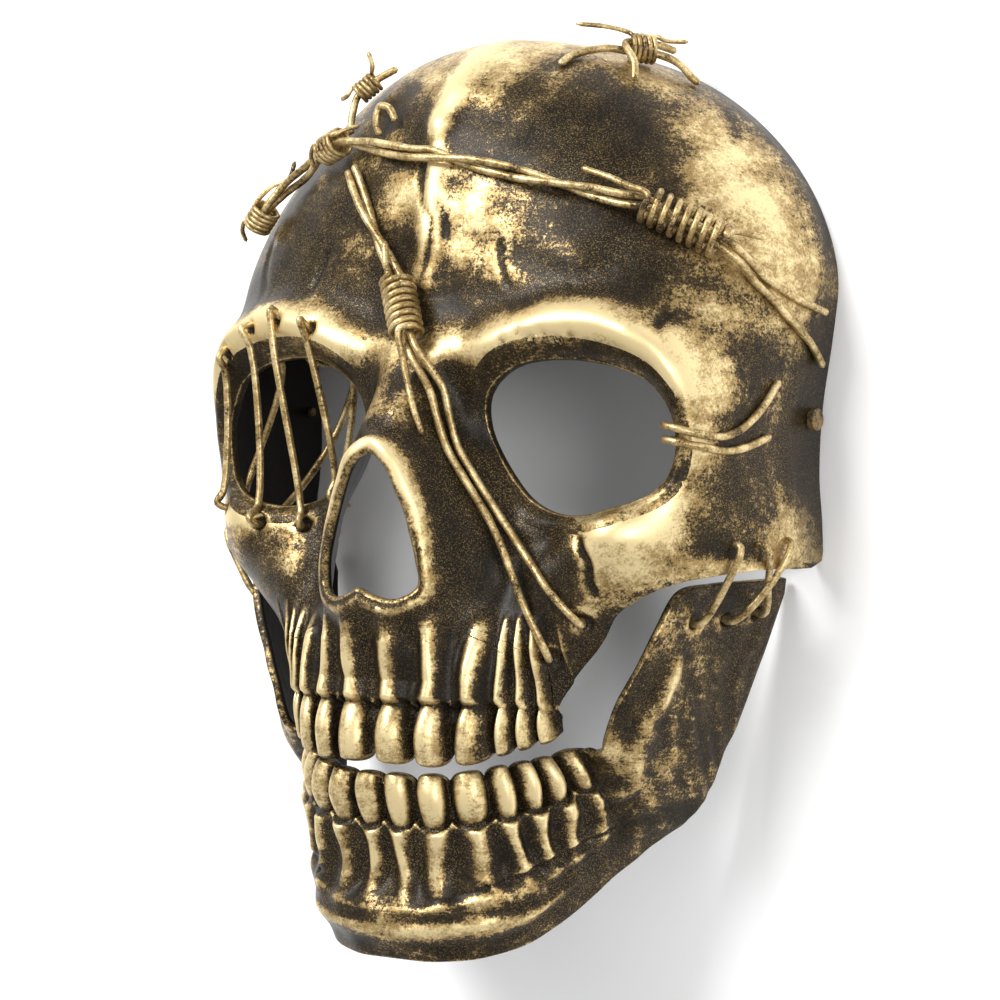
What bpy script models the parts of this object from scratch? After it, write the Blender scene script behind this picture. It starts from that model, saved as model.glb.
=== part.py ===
"""A rigid skull mask: two moulded shells laced together, bound over the brow with barbed wire.

The mask lies on its rear rim, face up. +Z points out of the face, +Y to the crown and +X to the
viewer's right. Sizes below are in millimetres, and the meshes are made in metres.
"""

import math

import bmesh
import bpy
import numpy as np
from mathutils import Matrix, Vector
from mathutils.bvhtree import BVHTree

MM = 0.001

# The whole mask leans: higher points sit further up the face, and the sides sweep up from the middle
RAKE = 0.087
SWEEP = 0.049
SWEEP_START = 12.0

# Overall form of the upper shell
CROWN_Y = 128.0
BROAD_Y = 50.0
CROWN_FULLNESS = 2.8
RIM_FULLNESS = 1.87
SHELL_WALL = 2.6
SHELL_RINGS = 12
SEAT_GAP = 0.35
SKULL_SECTIONS = (
    # y, half_width, edge_height, crest_height, squareness
    (128.0, 93.4, 0.0, 68.0, 2.0),
    (92.0, 93.4, 0.0, 68.0, 1.85),
    (72.0, 93.4, 0.0, 68.0, 2.15),
    (54.0, 93.2, 0.0, 68.3, 2.6),
    (38.0, 91.5, 0.0, 69.5, 3.2),
    (20.0, 89.1, 0.0, 71.0, 3.6),
    (0.0, 88.6, 0.0, 71.0, 3.6),
    (-15.0, 90.0, 0.0, 72.0, 3.2),
    (-23.0, 90.0, 0.0, 74.0, 3.0),
    (-29.0, 87.3, 14.0, 76.0, 2.8),
    (-38.0, 75.0, 28.0, 78.5, 2.6),
    (-48.0, 60.0, 40.0, 83.0, 2.3),
    (-60.0, 50.0, 45.0, 89.0, 2.1),
    (-72.0, 47.5, 46.0, 91.5, 2.0),
    (-95.0, 47.0, 46.0, 92.0, 2.0),
)
NOSE_RIDGE = (
    # y, rise, half_width
    (-62.0, 0.0, 17.0),
    (-50.0, 8.5, 20.0),
    (-40.0, 18.0, 22.0),
    (-20.0, 24.5, 22.0),
    (0.0, 24.0, 16.0),
    (12.0, 17.0, 12.0),
    (24.0, 9.0, 11.0),
    (36.0, 2.0, 13.0),
    (46.0, 0.0, 14.0),
)
BROW_LINE = ((7, 31), (18, 29.5), (31, 33), (46, 36.5), (60, 35), (73, 29), (81, 17), (82, 4), (80, -7))
BROW_RISE = (
    # share of the brow line, rise
    (0.0, 2.0),
    (0.15, 6.5),
    (0.45, 8.0),
    (0.75, 11.0),
    (0.9, 9.5),
    (1.0, 6.0),
)
BROW_WIDTH = 7.5

# Openings of the upper shell, right half or right side
EYE_OUTLINE = (
    (20.5, 9), (21.5, 18), (30, 25), (43, 27.5), (58, 25.5), (69.5, 20),
    (75.2, 10.5), (76, 1.5), (72.5, -8), (63, -14), (48.5, -16.2), (35, -12), (27, -4),
)
NOSE_OUTLINE = (
    (0, 1), (6, -2.5), (10.8, -11), (14.2, -20), (16.3, -30), (16.2, -38), (10.2, -42), (3.2, -40.5), (0, -39),
)
NOSE_MIDDLE = (0.0, -20.0)

# Lower edge of the upper shell, right half, from the end of the rear rim to the teeth
RIM_END_Y = -23.0
CHEEK_EDGE = (
    (89.2, -26), (86.5, -28.5), (82.5, -30.5), (76, -33), (68, -36.8),
    (60.8, -42), (54.8, -49.4), (49, -57), (44.8, -64.5), (43.4, -70.5),
)

# Teeth: angle round the arch and half angle, in degrees, right half
ARCH_RADIUS = 47.0
UPPER_TEETH = ((8.0, 7.0), (22.0, 6.3), (36.5, 7.2), (47.2, 3.9), (54.6, 3.8), (63.0, 4.4))
UPPER_BITE = ((0.0, -84.0), (36.0, -83.5), (48.0, -80.5), (57.0, -78.5), (66.0, -76.5), (72.0, -76.0))
LOWER_TEETH = ((6.3, 5.6), (19.5, 6.0), (33.0, 6.6), (44.0, 4.6), (52.5, 4.2), (60.5, 4.2), (70.0, 4.6))
TOOTH_NOTCH = 2.6
UPPER_GUM_Y = -67.0
LOWER_GUM = 0.74

JAW_STATIONS = (
    # station, lower x, y, z, upper x, y, z, bulge
    (0, 0.0, -138.5, 76.0, 0.0, -88.0, 87.0, 0.0),
    (1, 12.2, -138.5, 74.5, 12.2, -88.0, 85.4, 0.5),
    (2, 24.0, -137.0, 69.0, 23.5, -87.0, 80.7, 1.5),
    (3, 34.0, -132.0, 58.0, 33.2, -84.5, 73.2, 2.5),
    (4, 41.5, -123.0, 47.0, 40.7, -81.8, 63.5, 3.0),
    (5, 47.5, -114.0, 38.0, 44.7, -79.2, 54.5, 3.0),
    (6, 53.0, -106.0, 30.0, 50.0, -80.5, 54.5, 3.0),
    (7, 57.5, -101.0, 24.0, 55.0, -78.0, 57.0, 3.0),
    (8, 61.0, -96.5, 19.5, 59.5, -67.0, 57.0, 2.5),
    (9, 63.3, -92.5, 17.0, 64.5, -57.0, 55.0, 2.0),
    (10, 64.8, -88.0, 15.0, 69.5, -46.0, 53.0, 1.5),
    (11, 66.3, -82.0, 13.5, 73.5, -35.8, 48.5, 1.0),
    (12, 68.5, -74.0, 11.0, 76.3, -32.6, 36.0, 1.0),
    (13, 71.5, -63.0, 8.0, 78.3, -30.6, 21.0, 1.0),
    (14, 75.5, -48.0, 4.8, 80.0, -29.0, 8.0, 0.6),
    (15, 79.6, -32.5, 2.2, 80.4, -28.4, 2.8, 0.0),
)
JAW_ROWS = (0.0, 0.1, 0.22, 0.36, 0.5, 0.64, 0.74, 0.8, 1.0)

# Laces and wires
CORD_RADIUS = 1.05
WIRE_RADIUS = 1.1
HOLE_RADIUS = 2.0
POINTS_PER_TURN = 6
PAIR_STEP = 6.5
WIRE_STEP = 8.0
CLEAR_ROUNDS = 60
LACE_FRONT = 2.1
LACE_BEHIND = 4.6
LACE_DIP = 6.5
STUD_SIDES = 12
STUD_PLACE = (16.0, 6.0)
STUD_ROWS = (
    # height, radius
    (-4.6, 1.3),
    (0.9, 1.3),
    (0.9, 3.2),
    (2.6, 3.2),
    (3.1, 2.7),
)


def smooth_column(rows, index, at):
    """Cubic through one column of a table against its first column, with slopes from the neighbours."""
    rows = sorted(rows)
    knots = np.array([row[0] for row in rows], float)
    values = np.array([row[index] for row in rows], float)
    slope = np.gradient(values, knots)
    at = np.clip(at, knots[0], knots[-1])
    i = np.clip(np.searchsorted(knots, at) - 1, 0, len(knots) - 2)
    step = knots[i + 1] - knots[i]
    t = (at - knots[i]) / step
    start = (2 * t**3 - 3 * t**2 + 1) * values[i] + (t**3 - 2 * t**2 + t) * step * slope[i]
    end = (3 * t**2 - 2 * t**3) * values[i + 1] + (t**3 - t**2) * step * slope[i + 1]
    return start + end


def bell(distance, width):
    return np.exp(-((distance / width) ** 2))


def ramp(value, start, end):
    return np.clip((value - start) / (end - start), 0.0, 1.0)


def near_line(x, y, points):
    """Distance to a line of straight runs, and how far along it the nearest point is, from 0 to 1."""
    points = np.asarray(points, float)
    runs = np.hypot(*(points[1:] - points[:-1]).T)
    best = np.full(np.shape(x), 1.0e9)
    share = np.zeros(np.shape(x))
    done = 0.0
    for (ax, ay), (bx, by), run in zip(points[:-1], points[1:], runs):
        t = np.clip(((x - ax) * (bx - ax) + (y - ay) * (by - ay)) / run**2, 0, 1)
        distance = np.hypot(x - ax - t * (bx - ax), y - ay - t * (by - ay))
        share = np.where(distance < best, (done + t * run) / runs.sum(), share)
        best = np.minimum(distance, best)
        done += run
    return best, share


def closed_curve(points, count):
    """Points at even lengths along a closed smooth curve through the given ones."""
    p = np.asarray(points, float)
    n = len(p)
    t = np.linspace(0, n, n * 24, endpoint=False)
    i = t.astype(int)
    f = (t - i)[:, None]
    a, b, c, d = p[(i - 1) % n], p[i % n], p[(i + 1) % n], p[(i + 2) % n]
    curve = 0.5 * (2 * b + (c - a) * f + (2 * a - 5 * b + 4 * c - d) * f**2 + (3 * b - 3 * c + d - a) * f**3)
    curve = np.vstack([curve, curve[:1]])
    length = np.concatenate([[0], np.cumsum(np.linalg.norm(np.diff(curve, axis=0), axis=1))])
    at = np.linspace(0, length[-1], count, endpoint=False)
    return np.stack([np.interp(at, length, curve[:, k]) for k in range(curve.shape[1])], -1)


def open_curve(points, step):
    """Points about one step apart along an open smooth curve through the given ones."""
    p = np.asarray(points, float)
    if len(p) == 2:
        return p
    p = np.vstack([2 * p[0] - p[1], p, 2 * p[-1] - p[-2]])
    out = []
    for i in range(1, len(p) - 2):
        count = max(1, round(float(np.linalg.norm(p[i + 1] - p[i])) / step))
        f = np.linspace(0, 1, count, endpoint=False)[:, None]
        a, b, c, d = p[i - 1], p[i], p[i + 1], p[i + 2]
        bend = (2 * a - 5 * b + 4 * c - d) * f**2 + (3 * b - 3 * c + d - a) * f**3
        out.append(0.5 * (2 * b + (c - a) * f + bend))
    out.append(p[-2:-1])
    return np.vstack(out)


def leaned(points):
    """Where each point of the upright form lies in the mask as it is worn."""
    points = np.array(points, float)
    points[..., 1] += RAKE * points[..., 2] + SWEEP * (np.hypot(points[..., 0], SWEEP_START) - SWEEP_START)
    return points


def half_width(y):
    """Half the width of the rear rim, an arc over the crown."""
    over = np.clip((y - BROAD_Y) / (CROWN_Y - BROAD_Y), 0, 1)
    return smooth_column(SKULL_SECTIONS, 1, y) * np.maximum(1 - over**RIM_FULLNESS, 0) ** (1 / RIM_FULLNESS)


def tooth_form(angle, teeth):
    """Roundness of the teeth and of their roots: 1 at each middle, 0 between two."""
    crown = np.zeros(np.shape(angle))
    roots = np.zeros(np.shape(angle))
    for middle, half in teeth:
        crown = np.maximum(crown, np.sqrt(np.clip(1 - ((angle - middle) / half) ** 2, 0, 1)))
        roots = roots + bell(angle - middle, 0.6 * half)
    return crown, roots


def skull_height(x, y, relief=True):
    """Height of the upper shell: a squared dome over each section, with ridges and hollows added.

    Without relief, roots and teeth lie at the depth of the grooves between them.
    """
    x, y = np.asarray(x, float), np.asarray(y, float)
    side = np.abs(x)
    over = np.clip((y - BROAD_Y) / (CROWN_Y - BROAD_Y), 0, 1)
    edge = smooth_column(SKULL_SECTIONS, 2, y)
    share = np.clip(side / np.maximum(half_width(y), 1e-6), 0, 1)
    crest = smooth_column(SKULL_SECTIONS, 3, y) * np.maximum(1 - over**CROWN_FULLNESS, 0) ** (1 / CROWN_FULLNESS)
    square = smooth_column(SKULL_SECTIONS, 4, y)
    fall = np.maximum(1 - share**square, 0) ** (1 / square)
    z = edge + (crest - edge) * fall
    free = np.clip(2.2 * fall, 0, 1)

    nose = smooth_column(NOSE_RIDGE, 1, y) * np.exp(-((side / smooth_column(NOSE_RIDGE, 2, y)) ** 3.2))
    distance, along = near_line(side, y, BROW_LINE)
    brow = free * smooth_column(BROW_RISE, 1, along) * bell(distance, BROW_WIDTH)
    socket = free * 7.0 * bell(np.maximum(np.hypot((side - 47) / 27, (y - 6) / 21) - 0.75, 0), 0.35)
    cheekbone = free * 8.0 * np.exp(-(((side - 67) / 14) ** 2) - ((y + 20) / 10) ** 2)
    flank = 5.0 * np.exp(-(((side - 31) / 8) ** 2) - ((y + 30) / 17) ** 2)
    seam = 1.6 * bell(side, 4.5) * ramp(y, 38, 53) * np.clip(2 * fall, 0, 1)
    z = z + nose + brow - socket + cheekbone - flank + seam

    angle = np.degrees(np.arcsin(np.clip(side / ARCH_RADIUS, 0, 1)))
    crown, roots = tooth_form(angle, UPPER_TEETH)
    if not relief:
        crown, roots = 0.0, 0.0
    root_rows = ramp(-y, 42, 50) * ramp(y, -70, -66)
    tooth_rows = ramp(-y, -UPPER_GUM_Y, 2.0 - UPPER_GUM_Y)
    z = z + root_rows * (3.2 * roots - 1.2) * np.cos(np.radians(angle)) ** 0.3
    z = z + tooth_rows * (5.0 * crown - 4.0)
    return np.maximum(z, 0.0)


def skull_normal(x, y):
    """Outward direction of the upper shell, from its slopes."""
    d = 0.2
    slope_x = (skull_height(x + d, y) - skull_height(x - d, y)) / (2 * d)
    slope_y = (skull_height(x, y + d) - skull_height(x, y - d)) / (2 * d)
    normal = np.stack([-slope_x, -slope_y, np.ones(np.shape(slope_x))], -1)
    return normal / np.linalg.norm(normal, axis=-1, keepdims=True)


def arch_edge(teeth, bite):
    """The scalloped edge of the upper teeth, right half, from the last tooth to the midline."""
    edge = []
    for middle, half in reversed(teeth):
        for share in (1.0, 0.45, -0.45):
            angle = math.radians(middle + share * half)
            notch = TOOTH_NOTCH if share == 1.0 else 0.0
            y = float(smooth_column(bite, 1, math.degrees(angle))) + notch
            edge.append((ARCH_RADIUS * math.sin(angle), y))
    edge.append((0.0, bite[0][1] + TOOTH_NOTCH))
    return edge


def skull_outline():
    """The outer edge of the upper shell, clockwise from the crown as seen from +Z."""
    heights = BROAD_Y + (CROWN_Y - BROAD_Y) * np.sin(np.radians(np.linspace(90, 0, 10)))
    right = [(float(half_width(y)), float(y)) for y in heights]
    right[0] = (0.0, CROWN_Y)
    right += [(float(half_width(y)), float(y)) for y in np.linspace(BROAD_Y, RIM_END_Y, 7)[1:]]
    right += list(CHEEK_EDGE)
    right += arch_edge(UPPER_TEETH, UPPER_BITE)
    left = [(-x, y) for x, y in right[-2:0:-1]]
    return np.array(right + left)


def nose_ring(outline):
    """The point of the nose hole's edge that faces each point of the outer edge."""
    right = list(NOSE_OUTLINE)
    ring = closed_curve(right + [(-x, y) for x, y in right[-2:0:-1]], 240)
    middle = np.array(NOSE_MIDDLE)
    bearing = np.arctan2(*(ring - middle).T[::-1])
    order = np.argsort(bearing)
    bearing, reach = bearing[order], np.linalg.norm(ring - middle, axis=1)[order]
    wanted = np.arctan2(*(outline - middle).T[::-1])
    length = np.interp(wanted, bearing, reach, period=2 * math.pi)
    return middle + length[:, None] * np.stack([np.cos(wanted), np.sin(wanted)], -1)


def grid_normals(grid, wrap):
    """Normals of a grid of points. The first axis closes on itself where wrap is set."""
    if wrap:
        along = np.roll(grid, -1, 0) - np.roll(grid, 1, 0)
    else:
        along = np.gradient(grid, axis=0)
    across = np.gradient(grid, axis=1)
    normal = np.cross(along, across)
    return normal / np.maximum(np.linalg.norm(normal, axis=-1, keepdims=True), 1e-9)


def shell_mesh(name, outer, inner, wrap):
    """A closed wall between two grids of points with the same layout."""
    rays, rings = outer.shape[:2]
    points = leaned(np.concatenate([outer.reshape(-1, 3), inner.reshape(-1, 3)])) * MM
    outside = lambda i, k: (i % rays) * rings + k
    inside = lambda i, k: rays * rings + (i % rays) * rings + k
    faces = []
    for i in range(rays if wrap else rays - 1):
        for k in range(rings - 1):
            faces.append((outside(i, k), outside(i + 1, k), outside(i + 1, k + 1), outside(i, k + 1)))
            faces.append((inside(i, k), inside(i, k + 1), inside(i + 1, k + 1), inside(i + 1, k)))
        for k in (0, rings - 1):
            faces.append((outside(i, k), inside(i, k), inside(i + 1, k), outside(i + 1, k)))
    if not wrap:
        for i in (0, rays - 1):
            for k in range(rings - 1):
                faces.append((outside(i, k), outside(i, k + 1), inside(i, k + 1), inside(i, k)))
    mesh = bpy.data.meshes.new(name)
    mesh.from_pydata(points.tolist(), [], faces)
    shape = bmesh.new()
    shape.from_mesh(mesh)
    bmesh.ops.recalc_face_normals(shape, faces=shape.faces)
    bmesh.ops.triangulate(shape, faces=shape.faces)
    shape.to_mesh(mesh)
    shape.free()
    return mesh


def skull_shell_mesh():
    """The upper shell as a ring between the nose hole and the outer edge."""
    outline = skull_outline()
    nose = nose_ring(outline)
    steps = np.linspace(0, 1, SHELL_RINGS)
    at_rim = ramp(outline[:, 1], -60, -15)[:, None]
    bowed = 0.35 * steps + 0.65 * np.sin(0.5 * math.pi * steps)
    ahead = np.minimum(steps / 0.4, 1)
    across = (1 - at_rim) * ahead * ahead * (3 - 2 * ahead) + at_rim * bowed
    down = (1 - at_rim) * steps + at_rim * bowed
    share = np.stack([across, down], -1)
    flat = nose[:, None, :] + (outline - nose)[:, None, :] * share

    on_rim = outline[:, 1] >= RIM_END_Y - 0.01

    def surface(relief):
        height = skull_height(flat[..., 0], flat[..., 1], relief)
        height[on_rim, -1] = 0.0
        return np.concatenate([flat, height[..., None]], -1)

    outer = surface(True)
    base = surface(False)
    normal = grid_normals(base, True)
    normal *= np.sign(normal[..., 2:3].mean())
    inner = base - SHELL_WALL * normal
    inner[on_rim, -1, 2] = 0.0
    inner[..., 2] = np.maximum(inner[..., 2], 0.0)
    return shell_mesh("skull_shell", outer, inner, True)


def jaw_angle(station):
    return np.interp(station, (0, 4, 5, 6), (0, 60, 72, 84))


def jaw_surface(station, v, relief=True):
    """Right half of the lower jaw's outer surface.

    The station runs from the chin to the top rear corner of the jaw's branch, and v runs from the
    lower edge (0) to the upper one (1). Between the two edges the wall bulges outwards.
    """
    columns = [smooth_column(JAW_STATIONS, k, station) for k in range(1, 8)]
    low = np.stack(columns[0:3], -1)
    high = np.stack(columns[3:6], -1)
    place = low + (high - low) * v[..., None]
    inward = np.clip(1 - station / 9, 0, 1)
    out = np.stack([np.minimum(place[..., 0], 60), 0 * v, np.maximum(place[..., 2] - 35, 0) * inward + 0.01], -1)
    out /= np.linalg.norm(out, axis=-1, keepdims=True)

    front = np.clip(1 - station / 4.5, 0, 1)
    front = front * front * (3 - 2 * front)
    bulge = columns[6] * 4 * v * (1 - v)
    bulge = bulge - 3.0 * front * bell(v - 0.52, 0.2) + 4.5 * front * bell(v - 0.2, 0.16)
    crown, roots = tooth_form(jaw_angle(station), LOWER_TEETH)
    body = np.clip((5.3 - station) / 0.5, 0, 1)
    root_rows = ramp(v, 0.42, 0.54) * ramp(-v, -LOWER_GUM, 0.06 - LOWER_GUM)
    tooth_rows = ramp(v, LOWER_GUM, LOWER_GUM + 0.05)
    if not relief:
        crown, roots = 0.0 * v, 0.0 * v
    bulge = bulge + body * (root_rows * (2.6 * roots - 1.0) + tooth_rows * (4.5 * crown - 3.8))
    place = place + out * bulge[..., None]
    notch = TOOTH_NOTCH * body * (1 - np.minimum(2 * tooth_form(jaw_angle(station), LOWER_TEETH)[0], 1))
    place[..., 1] -= notch * ramp(v, 0.8, 1.0)
    return place


def jaw_stations():
    """Stations with three to each tooth, then one for each row of the table."""
    angles = [0.0]
    for middle, half in LOWER_TEETH:
        angles += [middle - 0.45 * half, middle + 0.45 * half, middle + half]
    stations = [float(np.interp(a, (0, 60, 72, 84), (0, 4, 5, 6))) for a in angles]
    return stations + [row[0] for row in JAW_STATIONS if row[0] > stations[-1] + 0.3]


def jaw_point(side, station, v, off):
    """A point at a given distance outside the jaw's branch, and its outward direction."""
    station, v = np.array([station, station + 0.01, station]), np.array([v, v, v + 0.01])
    place = jaw_surface(station, v)
    normal = np.cross(place[1] - place[0], place[2] - place[0])
    normal /= np.linalg.norm(normal)
    normal *= np.sign(normal[0])
    mirror = np.array([side, 1.0, 1.0])
    return (place[0] + off * normal) * mirror, normal * mirror


def jaw_shell_mesh():
    """The lower jaw as one band from branch to branch, round the chin."""
    stations, rows = np.meshgrid(jaw_stations(), JAW_ROWS, indexing="ij")

    def surface(relief):
        right = jaw_surface(stations, rows, relief)
        left = right[:0:-1] * np.array([-1.0, 1.0, 1.0])
        return np.concatenate([left, right])

    outer = surface(True)
    base = surface(False)
    normal = grid_normals(base, False)
    normal *= np.sign((normal * (base - np.array([0, -90, 20]))).sum())
    inner = base - SHELL_WALL * normal
    inner[..., 2] = np.maximum(inner[..., 2], 0.6)
    return shell_mesh("jaw_shell", outer, inner, False)


def new_object(name, mesh, group, material=None):
    made = bpy.data.objects.new(name, mesh)
    group.objects.link(made)
    if material:
        mesh.materials.append(material)
    return made


def finish(name, colour, roughness, metallic):
    material = bpy.data.materials.new(name)
    material.use_nodes = True
    shader = material.node_tree.nodes["Principled BSDF"]
    shader.inputs["Base Color"].default_value = (*colour, 1.0)
    shader.inputs["Roughness"].default_value = roughness
    shader.inputs["Metallic"].default_value = metallic
    return material


def tube(name, points, radius, group, material):
    """A wire or cord: a curve with a round section and closed ends."""
    curve = bpy.data.curves.new(name, "CURVE")
    curve.dimensions = "3D"
    curve.bevel_depth = radius * MM
    curve.bevel_resolution = 1
    curve.use_fill_caps = True
    spline = curve.splines.new("POLY")
    spline.points.add(len(points) - 1)
    for knot, place in zip(spline.points, points):
        knot.co = (place[0] * MM, place[1] * MM, place[2] * MM, 1.0)
    curve.materials.append(material)
    return new_object(name, curve, group)


def prism_cutter(name, outline, low, high, group):
    """A cutter with the given outline in x and y, from one height to another."""
    shape = bmesh.new()
    base = [shape.verts.new(leaned((x, y, low)) * MM) for x, y in outline]
    floor = shape.faces.new(base)
    raised = bmesh.ops.extrude_face_region(shape, geom=[floor])["geom"]
    top = [item for item in raised if isinstance(item, bmesh.types.BMVert)]
    rise = high - low
    bmesh.ops.translate(shape, verts=top, vec=Vector((0, RAKE * rise, rise)) * MM)
    bmesh.ops.recalc_face_normals(shape, faces=shape.faces)
    mesh = bpy.data.meshes.new(name)
    shape.to_mesh(mesh)
    shape.free()
    return hide_cutter(new_object(name, mesh, group))


def hole_cutter(name, holes, radius, reach, group):
    """One cutter with a round pin through each hole. A hole is its place and its direction."""
    shape = bmesh.new()
    for place, direction in holes:
        turn = Vector(direction).to_track_quat("Z", "Y").to_matrix().to_4x4()
        move = Matrix.Translation(Vector(place) * MM) @ turn
        bmesh.ops.create_cone(
            shape, cap_ends=True, segments=8, radius1=radius * MM, radius2=radius * MM,
            depth=2 * reach * MM, matrix=move,
        )
    mesh = bpy.data.meshes.new(name)
    shape.to_mesh(mesh)
    shape.free()
    return hide_cutter(new_object(name, mesh, group))


def hide_cutter(cutter):
    cutter.hide_render = True
    cutter.display_type = "WIRE"
    return cutter


def cut(target, cutter):
    made = target.modifiers.new(cutter.name, "BOOLEAN")
    made.operation = "DIFFERENCE"
    made.object = cutter
    made.solver = "EXACT"


def coil(start, end, radius, turns, outward):
    """Points of a helix round the line from start to end, starting on its outward side."""
    axis = (end - start) / np.linalg.norm(end - start)
    across = np.cross(axis, outward)
    across /= np.linalg.norm(across)
    up = np.cross(across, axis)
    t = np.linspace(0, 1, round(turns * POINTS_PER_TURN) + 1)[:, None]
    turn = 2 * math.pi * turns * t
    return start + (end - start) * t + radius * (np.cos(turn) * up + np.sin(turn) * across)


class Shells:
    """Both finished shells as one surface, in millimetres, and the wires laid on it so far."""

    def __init__(self, objects):
        rings = []
        graph = bpy.context.evaluated_depsgraph_get()
        for item in objects:
            mesh = bpy.data.meshes.new_from_object(item.evaluated_get(graph))
            spots = [tuple(round(value / MM, 3) for value in vertex.co) for vertex in mesh.vertices]
            for face in mesh.polygons:
                ring = [spots[k] for k in face.vertices]
                first = ring.index(min(ring))
                rings.append(ring[first:] + ring[:first])
            bpy.data.meshes.remove(mesh)
        rings.sort()
        starts = np.cumsum([0] + [len(ring) for ring in rings])
        faces = [range(start, end) for start, end in zip(starts[:-1], starts[1:])]
        self.tree = BVHTree.FromPolygons([spot for ring in rings for spot in ring], faces)
        self.starts = np.zeros((0, 3))
        self.ends = np.zeros((0, 3))
        self.radii = np.zeros(0)

    def outward(self, place):
        """The mean outward direction of the surface round a place."""
        total = Vector((0, 0, 0))
        for step in ((0, 0, 0), (4, 0, 0), (-4, 0, 0), (0, 4, 0), (0, -4, 0), (0, 0, 4), (0, 0, -4)):
            total += self.tree.find_nearest(Vector(place) + Vector(step))[1]
        return np.array(total.normalized())

    def over(self, row):
        """A row of x, y, z and lift as a point. Without a lift the point stays where it is."""
        place = leaned(row[:3])
        if row[3] is None:
            return place
        return np.array(self.tree.find_nearest(Vector(place))[0]) + row[3] * self.outward(place)

    def push(self, spot, radius):
        """The move that takes a round wire's middle clear of the shells and of the laid wires."""
        near, normal, _, distance = self.tree.find_nearest(Vector(spot))
        move = np.zeros(3)
        need = radius + SEAT_GAP
        if (Vector(spot) - near).dot(normal) < 0:
            move += np.array(normal) * (distance + need)
        elif distance < need:
            move += np.array(normal) * (need - distance)
        if len(self.radii):
            run = self.ends - self.starts
            t = np.clip(((spot - self.starts) * run).sum(1) / (run**2).sum(1), 0, 1)
            away = spot - self.starts - t[:, None] * run
            distance = np.maximum(np.linalg.norm(away, axis=1), 1e-6)
            k = np.argmin(distance - self.radii)
            lack = radius + self.radii[k] + SEAT_GAP - distance[k]
            if lack > 0:
                move += away[k] / distance[k] * lack
        return move

    def lay(self, points, radius):
        """Moves a wire's points until it is clear, and keeps it for the wires laid after it."""
        points = np.array(points, float)
        for _ in range(CLEAR_ROUNDS):
            moves = np.zeros(points.shape)
            for i in range(len(points) - 1):
                for t in (0.0, 0.25, 0.5, 0.75, 1.0):
                    move = self.push(points[i] * (1 - t) + points[i + 1] * t, radius)
                    moves[i] += 0.5 * (1 - t) * move
                    moves[i + 1] += 0.5 * t * move
            if np.abs(moves).max() < 0.002:
                break
            points += np.clip(moves, -1.0, 1.0)
        self.starts = np.vstack([self.starts, points[:-1]])
        self.ends = np.vstack([self.ends, points[1:]])
        self.radii = np.concatenate([self.radii, np.full(len(points) - 1, radius)])
        return points


# The laces of the closed eye: places of the holes, from the temple to the nose
EYE_LACE_UPPER = ((-71.0, 27.0), (-59.5, 34.3), (-48.5, 36.6), (-35.0, 35.0))
EYE_LACE_LOWER = ((-71.5, -17.0), (-54.8, -21.0), (-39.6, -20.6), (-29.0, -12.5))

# The laces of the jaw: y and z of the cheekbone's holes, station and v of the jaw's holes
CHEEK_LACE = ((-22.4, 40.9), (-21.2, 31.8), (-19.6, 20.2))
JAW_LACE = ((11.2, 0.82), (12.3, 0.76), (13.35, 0.7))

# Places where two wires go through the cheek
CHEEK_WIRE_HOLES = ((44.2, -54.0), (53.0, -44.4))

# Wires that run in twisted pairs, over the brow and down to the nose: x, y, z, lift over the shell
BROW_PAIR = (
    (-72.5, 65.5, 51.0, 5.3), (-66.5, 71.0, 50.0, 5.3), (-61.0, 76.5, 49.0, 4.2), (-52.0, 82.0, 52.0, 3.4),
    (-44.0, 85.5, 54.0, 4.6), (-40.5, 86.5, 56.0, 5.3), (-34.5, 88.6, 57.0, 5.3), (-27.0, 88.6, 60.0, 3.8),
    (-5.6, 85.6, 65.4, 3.0), (14.3, 82.0, 64.6, 3.0), (35.4, 76.3, 61.3, 3.2), (48.0, 72.0, 58.0, 4.2),
    (56.0, 69.2, 54.8, 5.7), (61.0, 67.4, 53.0, 6.4), (70.0, 62.8, 49.0, 6.4), (78.5, 57.6, 43.5, 6.4),
    (82.5, 54.6, 39.0, 5.2),
)
BROW_TAILS = (
    ((87.0, 50.6, 33.0, 2.6), (90.6, 47.4, 22.0, 1.6), (92.0, 45.6, 7.0, 1.6)),
    ((85.6, 48.6, 35.5, 2.4), (89.3, 41.6, 25.0, 1.6), (90.8, 36.0, 13.0, 1.6), (90.4, 31.0, 5.0, 1.6)),
)
NOSE_PAIR = (
    (-28.5, 81.6, 61.0, 3.0), (-20.5, 70.0, 66.0, 2.9), (-13.5, 60.0, 68.0, 3.6), (-8.0, 53.6, 68.5, 4.8),
    (-4.6, 49.5, 68.7, 5.6), (-1.0, 40.5, 71.5, 5.6), (3.0, 30.5, 76.0, 5.6), (5.5, 25.5, 79.0, 4.6),
)
NOSE_TAILS = (
    ((9.8, 18.0, 79.5, 2.4), (18.3, 3.0, 80.5, 2.2), (30.4, -20.0, 76.5, 3.0), (40.0, -40.0, 75.0, 2.4)),
    ((13.2, 19.0, 77.5, 2.2), (21.6, 4.6, 78.0, 2.2), (34.4, -19.5, 74.5, 3.2), (47.0, -36.0, 73.0, 2.4)),
)
PAIR_RADIUS = 1.3
BROW_TWISTS = 2.5
NOSE_TWISTS = 1.0
COIL_WIRE_RADIUS = 0.62
BARB_WIRE_RADIUS = 0.85

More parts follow.
